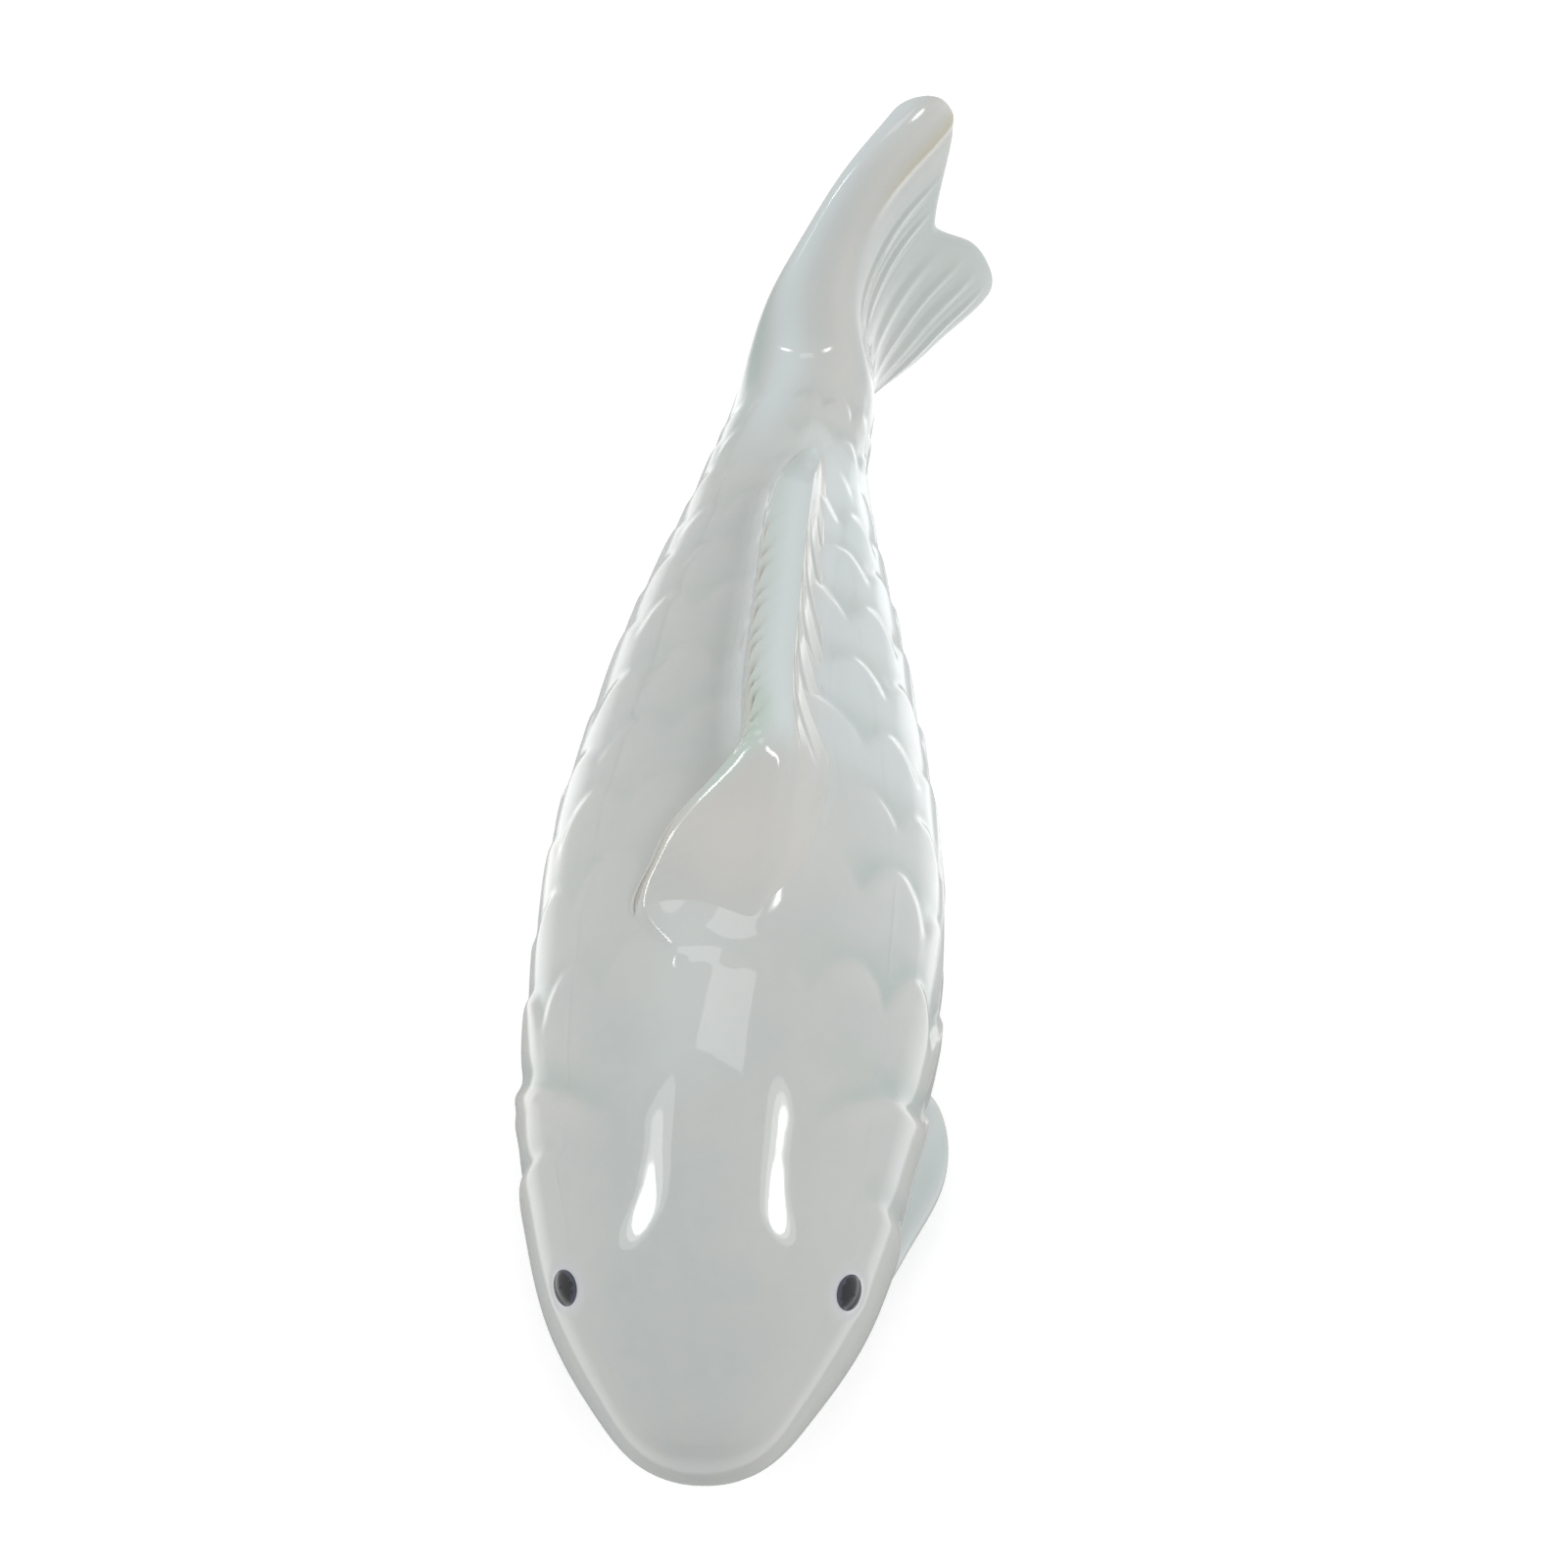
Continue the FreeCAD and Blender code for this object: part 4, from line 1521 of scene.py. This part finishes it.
@dataclass(frozen=True)
class FinRays:
    """Rays, barbs and glaze of the dorsal fin, with painted light along its rays.

    Units count round the ten points of the fin's section: the right side up to 3, then the crest
    and its edges up to 6, then the left slope. Places on Y are in millimetres.
    """

    behind_hood: Ramp = Ramp(-2.5, 2.0)
    rear: Ramp = Ramp(27.0, 20.0)
    barb: float = 0.32
    barb_line: Bump = Bump(0, 0.20)
    barb_gap: float = 0.03
    barb_gap_line: Bump = Bump(0.42, 0.12)
    barb_low: Ramp = Ramp(2.2, 3.0)
    barb_top: Ramp = Ramp(4.5, 3.7)
    barb_lean: float = 3.0
    barb_unit: float = 3.6
    barb_sway: float = 0.35
    barb_sway_rate: float = 1.3
    barb_pitch: float = 1.6
    barb_growth: float = 0.045
    barb_start: float = -2.0
    ray: float = 0.25
    ray_line: Bump = Bump(0, 0.085)
    ray_lean: float = 12.5
    ray_unit: float = 5.5
    ray_units: float = 2.2
    ray_pitch: float = 4.9
    ray_top: Ramp = Ramp(5.2, 5.7)
    ray_foot: Ramp = Ramp(7.7, 7.0)
    ray_front: Ramp = Ramp(-1.0, 4.0)
    crest_right: Ramp = Ramp(3.3, 3.9)
    crest_left: Ramp = Ramp(5.9, 5.1)
    hood: Ramp = Ramp(3.0, -1.0)
    lip: float = 0.20
    lip_line: Bump = Bump(3.35, 0.30)
    tan: float = 0.70
    tan_barbs: tuple = (Bump(3.1, 0.8), Bump(0, 0.3))
    tan_hood: tuple = (0.5, Bump(3.4, 0.3))
    tan_left: tuple = (0.35, Bump(5.7, 0.35))
    mint_hood: tuple = (0.85, Bump(1.0, 1.1), Ramp(-6.5, -3.5), Ramp(6.0, 2.0))
    mint_crest: tuple = (0.25, Bump(4.0, 0.4))
    pale_crest: tuple = (0.55, 0.40, Bump(4.7, 0.5))
    # Painted light: a pale tint along the raised rays that stands in for their highlights and lifts
    # the shade at their sides.
    painted_light_on_rays: float = 3.0
    deep_barbs: tuple = (0.1, Bump(0.45, 0.15), Bump(3.2, 0.6))
    warm_slope: float = 0.3

    def relief(self, skin: np.ndarray, units: np.ndarray,
               blend: FinBlend) -> tuple[np.ndarray, Tints]:
        """Height of the rays, and the glaze tints.

        Args:
            skin: the smooth fin.
            units: where the columns are round the ten points.
            blend: the soft surface over the fin and the back.

        Returns:
            The height in millimetres, and the tints.
        """
        unit, y = units[None, :], skin[..., 1]
        behind, hood, rear = self.behind_hood(y), self.hood(y), self.rear(y)
        reach = y + self.barb_sway * np.sin(self.barb_sway_rate * y)
        reach = reach + self.barb_lean * (self.barb_unit - unit) - self.barb_start
        grown = np.maximum(1 + self.barb_growth * reach / self.barb_pitch, 0.05)
        short = sawtooth(np.log(grown) / self.barb_growth)
        gaps = self.barb_gap * self.barb_gap_line(np.abs(short))
        barbs = (self.barb * self.barb_line(short) - gaps) * self.barb_low(unit)
        barbs = barbs * self.barb_top(unit) * rear
        long = (y + self.ray_lean * (unit - self.ray_unit) / self.ray_units) / self.ray_pitch
        rays = self.ray * self.ray_line(sawtooth(long)) * self.ray_top(unit) * self.ray_foot(unit)
        rays = rays * self.ray_front(y) * rear
        crest = self.crest_right(unit) * self.crest_left(unit)
        edge = self.tan_barbs[0](unit) * behind * self.tan_barbs[1](short)
        edge = edge + self.tan_hood[0] * hood * self.tan_hood[1](unit)
        edge = (edge + self.tan_left[0] * self.tan_left[1](unit) * behind) * rear
        share, beyond, start, end = self.mint_hood
        mint = share * beyond(blend.beyond(skin[..., 0], y)) * start(y) * end(y)
        mint = mint + self.mint_crest[0] * self.mint_crest[1](unit) * behind
        # pale is the crest's pale glaze plus the painted light along the raised rays.
        low, gain, line = self.pale_crest
        pale = crest * behind * (low + gain * line(unit)) + self.painted_light_on_rays * rays
        share, gap, at = self.deep_barbs
        warm = blend.warmth(skin) + self.warm_slope * (1 - crest) * (unit > 5) + barbs
        tints = {Tint.MINT: mint, Tint.EDGE: np.clip(edge, 0, 1) * self.tan, Tint.PALE_AND_PAINTED_LIGHT: pale,
                 Tint.POOL: share * behind * gap(np.abs(short)) * at(unit),
                 Tint.RISE: np.clip(warm, 0, 1)}
        return barbs * behind + rays + self.lip * self.lip_line(unit) * hood, tints


@dataclass
class DorsalFin:
    """The long fin on the back: a steep right side, a flat crest and a ribbed left slope.

    The rows hold the place from the front, then the right root, right crest, left crest and left
    root across the fish as shares of the half width, and the two crests as shares of the height.
    """

    form: KoiForm
    glaze: bpy.types.Material
    front: float = -16.5
    length: float = 53.0
    height: float = 6.0
    half: float = 8.2
    root: float = 5.5
    root_share: float = 0.62
    hollow_share: float = 0.42
    crest_edge: float = 0.14
    rings: int = 330
    cells: int = 240
    round_off: tuple = (1.0, 6.5)
    sharp: float = 60
    top_right: Ramp = Ramp(0.8, 1.4)
    top_left: Ramp = Ramp(8.5, 8.0)
    blend: FinBlend | None = None
    rows: np.ndarray = field(default_factory=lambda: np.array([
        (0.01, -0.74, -0.60, 0.10, 0.40, -0.24, -0.20),
        (0.08, -1.06, -0.97, 0.32, 0.78, -0.14, 0.12),
        (0.14, -0.94, -0.84, 0.50, 0.92, 0.10, 0.34),
        (0.205, -0.76, -0.64, 0.55, 0.98, 0.32, 0.62),
        (0.28, -0.26, -0.12, 0.56, 1.00, 0.90, 0.94),
        (0.39, -0.11, 0.01, 0.48, 0.95, 0.95, 0.92),
        (0.51, -0.09, -0.01, 0.47, 0.88, 0.82, 0.80),
        (0.69, -0.05, 0.00, 0.46, 0.76, 0.63, 0.60),
        (0.89, 0.03, 0.09, 0.44, 0.61, 0.42, 0.38),
        (0.99, 0.20, 0.28, 0.40, 0.50, -0.22, -0.26)]))

    def section(self, row: np.ndarray) -> np.ndarray:
        """Ten points round the fin at a row, from the deep right root over the crest."""
        place, right_root, right_crest, left_crest, left_root, right_rise, left_rise = row
        y = self.front + place * self.length
        body_row = self.form.row_at((y + self.form.nose_reach) / self.form.body_length)
        back = self.form.section(body_row, np.array([math.pi / 2]))[0]
        deep = -self.root
        root = self.root_share * deep
        right, left = right_rise * self.height, left_rise * self.height
        edge = self.crest_edge * (left_crest - right_crest)
        outline = np.array([
            (right_root, deep), (right_root, root),
            ((right_root + right_crest) / 2, (right + root) / 2),
            (right_crest, right - self.crest_edge * (right - root)),
            (right_crest + edge, right), (left_crest - edge, left),
            (left_crest, left - self.crest_edge * (left - root)),
            (left_crest + self.hollow_share * (left_root - left_crest),
             self.hollow_share * left + (1 - self.hollow_share) * root),
            (left_root, root), (left_root, deep)])
        return np.stack([back[0] + outline[:, 0] * self.half, np.full(10, y),
                         back[2] + outline[:, 1]], axis=1)

    def smooth(self) -> tuple[np.ndarray, np.ndarray]:
        """The fin's skin without its rays, and where its columns are round the ten points."""
        rings = np.array([self.section(row) for row in self.rows])
        units = np.linspace(0, 10, self.cells + 1)[:-1]
        places = np.linspace(self.rows[0, 0], self.rows[-1, 0], self.rings + 1) * self.length
        skin = spline_at(self.rows[:, 0] * self.length, ring_at(rings, units), places)
        for axis in (0, 2):
            skin[..., axis] = soften(skin[..., axis], self.round_off, True)
        return skin, units

    def blend_with(self, back: np.ndarray) -> None:
        """Makes the soft surface over the fin and the smooth back."""
        skin, units = self.smooth()
        margin = skin[:, np.argmin(np.abs(units - 3))]
        self.blend = FinBlend(skin[:, (units >= 1) & (units <= 8)], back, margin[:, [1, 0]])

    def build(self) -> bpy.types.Object:
        """Makes the fin, once the body has been built.

        Returns:
            The fin.
        """
        skin, units = self.smooth()
        on_top = self.top_right(units) * self.top_left(units)
        skin[..., 2] += on_top * (self.blend.raised_fin(skin) - skin[..., 2])
        height, tints = FinRays().relief(skin, units, self.blend)
        skin = skin + grid_normals(skin) * height[..., None]
        columns = list(range(self.cells)) + [0]
        piece = sculpted_grid("dorsal_fin_glazed", skin[:, columns],
                              {key: value[:, columns] for key, value in tints.items()})
        dress(piece, self.glaze)
        weld(piece)
        close_holes(piece)
        attach(piece, "dorsal_fin", self.sharp)
        return piece


@dataclass
class PaddleFin:
    """A flat rounded fin with fine rays, set in the skin at its root.

    The size holds its length, width and half thickness, and the outline its points as shares of
    the length and the width.
    """

    form: KoiForm
    glaze: bpy.types.Material
    name: str
    size: tuple[float, float, float]
    root: float = 1.0
    segments: int = 160
    circles: int = 60
    sharp: float = 70
    outline: tuple = ((0.00, 0.16), (0.22, 0.38), (0.50, 0.52), (0.78, 0.43), (0.96, 0.20),
                      (1.00, -0.04), (0.88, -0.32), (0.60, -0.48), (0.26, -0.36), (0.00, -0.20))
    heart: float = 0.45
    flatness: float = 0.8
    edge_power: float = 3.0
    rays: int = 11
    ray: float = 0.13
    ray_origin: float = 0.25
    ray_edge: Ramp = Ramp(0.99, 0.86)
    ray_root: Ramp = Ramp(0.15, 0.4)
    deep_share: float = 0.45
    pale_share: float = 0.6
    tan_share: float = 0.35
    tan_edge: Ramp = Ramp(0.93, 1.0)

    def blade(self) -> bpy.types.Object:
        """Adds a ball and presses it into the flat fin, along +X from its root.

        Returns:
            The fin, not yet placed.
        """
        bpy.ops.object.select_all(action="DESELECT")
        bpy.ops.mesh.primitive_uv_sphere_add(segments=self.segments, ring_count=self.circles,
                                             radius=1)
        piece = bpy.context.active_object
        piece.name = self.name + "_glazed"
        length, width, half = self.size
        ball = corners_of(piece)
        around = np.arctan2(ball[:, 1], ball[:, 0]) % TURN
        turns = (math.pi - around) % TURN / TURN * len(self.outline)
        rim = ring_at(np.array([[(x * length, y * width, 0.0) for x, y in self.outline]]), turns)[0]
        heart = np.array([length * self.heart, 0.0, 0.0])
        out = np.clip(np.hypot(ball[:, 0], ball[:, 1]), 0, 1) ** self.flatness
        flat = heart + out[:, None] * (rim - heart)
        face = np.sign(ball[:, 2])
        thick = half * face * np.sqrt(np.maximum(1 - out ** self.edge_power, 0))
        fan = np.arctan2(flat[:, 1], flat[:, 0] + self.ray_origin * length)
        wave = np.cos(fan * 2 * self.rays)
        ribs = self.ray * wave * self.ray_edge(out) * self.ray_root(flat[:, 0] / length)
        flat[:, 2] = thick + ribs * face
        move_corners(piece, flat)
        paint(piece, {Tint.POOL: np.clip(-wave, 0, 1) * self.deep_share,
                      Tint.EDGE: self.tan_share * self.tan_edge(out),
                      Tint.PALE_AND_PAINTED_LIGHT: np.full_like(out, self.pale_share)})
        dress(piece, self.glaze)
        return piece

    def finish(self, turns: list[tuple[str, float]], move: np.ndarray, side: Side = Side.LEFT,
               middle: float = 0.0) -> bpy.types.Object:
        """Makes the fin, turns it, moves it to its root and attaches it.

        Args:
            turns: axis and degrees, in the order they are made.
            move: where its root goes, in millimetres.
            side: side of the fish.
            middle: X of the fish's middle at the root, for the mirrored side.

        Returns:
            The placed fin.
        """
        piece = self.blade()
        points = corners_of(piece)
        for axis, degrees in turns:
            points = points @ self.turn(axis, degrees).T
        points = points + move
        if side is Side.RIGHT:
            points[:, 0] = -points[:, 0]
        points[:, 0] += middle
        move_corners(piece, points * MM)
        if side is Side.RIGHT:
            piece.data.flip_normals()
        piece.data.update()
        attach(piece, self.name, self.sharp)
        return piece

    def turn(self, axis: str, degrees: float) -> np.ndarray:
        """Matrix of a turn round an axis through the origin."""
        angle = math.radians(degrees)
        cos, sin = math.cos(angle), math.sin(angle)
        first, second = {"X": (1, 2), "Y": (2, 0), "Z": (0, 1)}[axis]
        matrix = np.eye(3)
        matrix[first, first], matrix[first, second] = cos, -sin
        matrix[second, first], matrix[second, second] = sin, cos
        return matrix

    def on_side(self, place: float, turn: float, pose: tuple[float, float, float],
                side: Side) -> bpy.types.Object:
        """Builds the fin on one side of the body.

        Args:
            place: share of the body's length.
            turn: degrees round the body.
            pose: degrees back from straight out, below level, and of twist.
            side: side of the fish.

        Returns:
            The fin.
        """
        back, down, twist = pose
        row = self.form.row_at(place)
        middle = self.form.middle(place, *row[4:])[0]
        root = self.form.section(row, np.array([math.radians(turn)]), self.root)[0]
        root[0] -= middle
        return self.finish([("X", twist), ("Y", down), ("Z", back)], root, side, middle)

    def under_stem(self, place: float, tilt: float) -> bpy.types.Object:
        """Builds the upright fin under the tail stem.

        Args:
            place: share of the body's length.
            tilt: degrees that it leans back from straight down.

        Returns:
            The fin.
        """
        root = self.form.section(self.form.row_at(place), np.array([-math.pi / 2]), self.root)[0]
        return self.finish([("X", 90), ("Z", 90), ("X", tilt - 90)], root)


@dataclass
class PaddleFins:
    """The five small fins, as they sit on the body: name, place, turn, pose and side."""

    form: KoiForm
    glaze: bpy.types.Material
    pectoral: tuple = (19.0, 8.4, 1.1)
    pelvic: tuple = (12.0, 7.0, 0.9)
    anal: tuple = (11.0, 6.0, 1.0)
    pectoral_seat: tuple = (0.188, -28.0)
    pelvic_seat: tuple = (0.60, -62.0)
    anal_seat: tuple = (0.835, 66.0)
    left_pectoral_pose: tuple = (74.0, 4.0, 18.0)
    right_pectoral_pose: tuple = (84.0, 6.0, 62.0)
    pelvic_pose: tuple = (72.0, -6.0, 10.0)

    def build(self) -> list[bpy.types.Object]:
        """Makes the fins.

        Returns:
            The five pieces.
        """
        pairs = (
            ("pectoral_fin_left", self.pectoral, self.pectoral_seat, self.left_pectoral_pose,
             Side.LEFT),
            ("pectoral_fin_right", self.pectoral, self.pectoral_seat, self.right_pectoral_pose,
             Side.RIGHT),
            ("pelvic_fin_left", self.pelvic, self.pelvic_seat, self.pelvic_pose, Side.LEFT),
            ("pelvic_fin_right", self.pelvic, self.pelvic_seat, self.pelvic_pose, Side.RIGHT))
        pieces = [PaddleFin(self.form, self.glaze, name, size).on_side(*seat, pose, side)
                  for name, size, seat, pose, side in pairs]
        anal = PaddleFin(self.form, self.glaze, "anal_fin", self.anal)
        return pieces + [anal.under_stem(*self.anal_seat)]


# ---------------------------------------------------------------- studio


@dataclass(frozen=True)
class SoftBox:
    """A flat lamp."""

    name: str
    way: tuple[float, float, float]
    width: float
    height: float
    radiance: float
    shape: str
    mirrored: bool = True
    distance: float = 0.6
    aim: tuple = (0, 0, 20 * MM)

    def build(self) -> None:
        """Adds the lamp, aimed at the fish."""
        way = Vector(self.way).normalized()
        lamp = bpy.data.lights.new(self.name, "AREA")
        lamp.shape = self.shape
        lamp.size, lamp.size_y = self.width, self.height
        lamp.energy = self.radiance * math.pi * self.width * self.height
        stand = bpy.data.objects.new(self.name, lamp)
        bpy.context.scene.collection.objects.link(stand)
        stand.visible_glossy = self.mirrored
        stand.location = Vector(self.aim) + way * self.distance
        stand.rotation_euler = way.to_track_quat("Z", "Y").to_euler()


@dataclass(frozen=True)
class PaperFloor:
    """A pale floor that keeps the fish's shadow. Only in reflections does it carry a painted shadow
    near the fish and a painted glowing ring further out, which the glaze mirrors as a grey rim and
    a bright line.

    Off is the distance on the floor from the fish's middle line, in metres. It is read closer to
    the fish behind the head, where the body is narrower than its outline.
    """

    size: float = 6.0
    gap: float = 0.03 * MM
    paper: tuple = ((0.93, 0.93, 0.93, 1), (0.95, 0.95, 0.95, 1))
    grain_cells: float = 900.0
    half_line: float = 36 * MM
    head: tuple = (-14 * MM, 6 * MM)
    behind_head: float = 8 * MM
    # Painted shadow: near the fish the floor turns darker in reflections only, which the glaze
    # mirrors as a grey rim.
    painted_shadow: tuple = (0.2, 0.2, 0.2, 1)
    painted_shadow_end: tuple = (30 * MM, 34 * MM)
    painted_shadow_share: float = 0.2
    painted_shadow_head: float = 0.3
    # Painted light: further out, a ring of the floor glows in reflections only, which the glaze
    # mirrors as a bright line.
    painted_glow_end: tuple = (40 * MM, 65 * MM)
    camera_glow: float = 0.35

    def build(self) -> None:
        """Adds the floor."""
        bpy.ops.object.select_all(action="DESELECT")
        bpy.ops.mesh.primitive_plane_add(size=self.size, location=(0, 0, -self.gap))
        floor = bpy.context.active_object
        floor.name = "studio_floor"
        bpy.ops.object.transform_apply(location=True, rotation=True, scale=True)
        material, sheet, shader = new_finish("white_paper")
        place = sheet.place()
        path = sheet.add("ShaderNodeLightPath")
        grain = sheet.span(sheet.noise(place, self.grain_cells, 2.0), 0.3, 0.7)
        paper = sheet.blend(grain, *self.paper)
        across, along = list(sheet.add("ShaderNodeSeparateXYZ", {0: place}).outputs)[:2]
        beyond = sheet.maths("SUBTRACT", sheet.maths("ABSOLUTE", along), self.half_line)
        beyond = sheet.maths("MAXIMUM", beyond, 0.0)
        off = sheet.maths("ADD", sheet.maths("POWER", across, 2.0),
                          sheet.maths("POWER", beyond, 2.0))
        head = sheet.span(along, *self.head, 1.0, 0.0)
        off = sheet.maths("ADD", sheet.maths("SQRT", off), self.behind_head)
        off = sheet.maths("MULTIPLY_ADD", head, -self.behind_head, off)
        # Painted shadow near the fish, for reflections only.
        near = sheet.maths("MULTIPLY", sheet.span(off, *self.painted_shadow_end, 1.0, 0.0),
                           path.outputs["Is Glossy Ray"])
        share = sheet.maths("MULTIPLY_ADD", head, self.painted_shadow_head, self.painted_shadow_share)
        paper = sheet.blend(sheet.maths("MULTIPLY", near, share), paper, self.painted_shadow)
        # Painted glowing ring for reflections, and an even glow to the camera.
        ring = sheet.maths("MULTIPLY", sheet.span(off, *self.painted_shadow_end),
                           sheet.span(off, *self.painted_glow_end, 1.0, 0.0))
        glow = sheet.maths("MULTIPLY", path.outputs["Is Glossy Ray"], ring)
        glow = sheet.maths("MULTIPLY_ADD", path.outputs["Is Camera Ray"], self.camera_glow, glow)
        sheet.fill(shader, {"Base Color": paper, "Roughness": 0.9,
                            "Emission Color": (1, 1, 1, 1), "Emission Strength": glow})
        dress(floor, material)


@dataclass(frozen=True)
class Studio:
    """Camera, lamps, white surroundings and floor."""

    elevation: float = 60.0
    azimuth: float = 1.0
    distance: float = 402 * MM
    target: tuple = (3.1 * MM, 7.5 * MM, 14.0 * MM)
    lens: float = 110.0
    sensor: float = 36.0
    clip_start: float = 10 * MM
    ambient: float = 0.50
    long_boxes: tuple = (("left_box", (-0.54, -0.155, 0.83), 0.072, 0.24),
                         ("right_box", (0.53, -0.180, 0.84), 0.072, 0.19))
    layers: tuple = (("_core", 0.88, 0.70, 10.0), ("_middle", 1.0, 1.0, 3.6),
                     ("_glow", 1.3, 1.4, 1.4))
    cards: tuple = (SoftBox("top_card", (0.01, 0.045, 0.99), 0.20, 0.12, 1.8, "RECTANGLE"),
                    SoftBox("right_fill", (0.93, 0.10, 0.36), 0.40, 0.40, 2.3, "RECTANGLE", False),
                    SoftBox("left_fill", (-0.93, 0.10, 0.36), 0.40, 0.40, 1.6, "RECTANGLE", False))

    def build(self) -> None:
        """Adds everything round the fish."""
        bpy.context.scene.view_settings.view_transform = "Standard"
        self.camera()
        for name, way, width, height in self.long_boxes:
            for part, wider, taller, radiance in self.layers:
                SoftBox(name + part, way, wider * width, taller * height, radiance,
                        "ELLIPSE").build()
        for card in self.cards:
            card.build()
        self.surroundings()
        PaperFloor().build()

    def camera(self) -> None:
        """Sets the camera at the photograph's angle."""
        lift, swing = math.radians(self.elevation), math.radians(self.azimuth)
        way = Vector((math.sin(swing) * math.cos(lift), -math.cos(swing) * math.cos(lift),
                      math.sin(lift)))
        data = bpy.data.cameras.new("photo_camera")
        data.lens = self.lens
        data.sensor_width = self.sensor
        data.clip_start = self.clip_start
        camera = bpy.data.objects.new("photo_camera", data)
        bpy.context.scene.collection.objects.link(camera)
        camera.location = Vector(self.target) + way * self.distance
        camera.rotation_euler = way.to_track_quat("Z", "Y").to_euler()
        bpy.context.scene.camera = camera

    def surroundings(self) -> None:
        """A white studio to the camera and in reflections, and plain soft light elsewhere."""
        world = bpy.data.worlds.new("white_studio")
        bpy.context.scene.world = world
        world.use_nodes = True
        sheet = NodeSheet(world.node_tree)
        path = sheet.add("ShaderNodeLightPath")
        seen = sheet.maths("MAXIMUM", path.outputs["Is Camera Ray"], path.outputs["Is Glossy Ray"])
        seen = sheet.maths("MAXIMUM", seen, path.outputs["Is Transmission Ray"])
        sheet.fill(world.node_tree.nodes["Background"],
                   {"Color": (1, 1, 1, 1), "Strength": sheet.span(seen, 0, 1, self.ambient, 1.0)})


# ---------------------------------------------------------------- assembly


def main() -> None:
    """Builds the koi and its studio, and logs each piece's corners, faces and lowest point."""
    logging.basicConfig(level=logging.INFO, format="%(name)s: %(message)s")
    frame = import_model()
    kiln = KilnMarks().build()
    glaze = CeladonGlaze().build(kiln)
    clay = BareClay().build(kiln)
    Studio().build()
    form = KoiForm()
    dorsal = DorsalFin(form, glaze)
    pieces = KoiBody(form, dorsal, glaze, clay).build()
    pieces.append(dorsal.build())
    pieces += PaddleFins(form, glaze).build()
    for name in ("eye_left", "eye_right"):
        low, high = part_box(name)
        dress(frame["nodes"][name], EyeGlaze().build(name + "_ink", (low + high) / 2))
    dress(frame["nodes"]["vent_plug"], clay)
    for piece in pieces:
        log.info("%s: %d corners, %d faces, lowest %.3f mm", piece.name, len(piece.data.vertices),
                 len(piece.data.polygons), corners_of(piece)[:, 2].min() / MM)


if __name__ == "__main__":
    main()
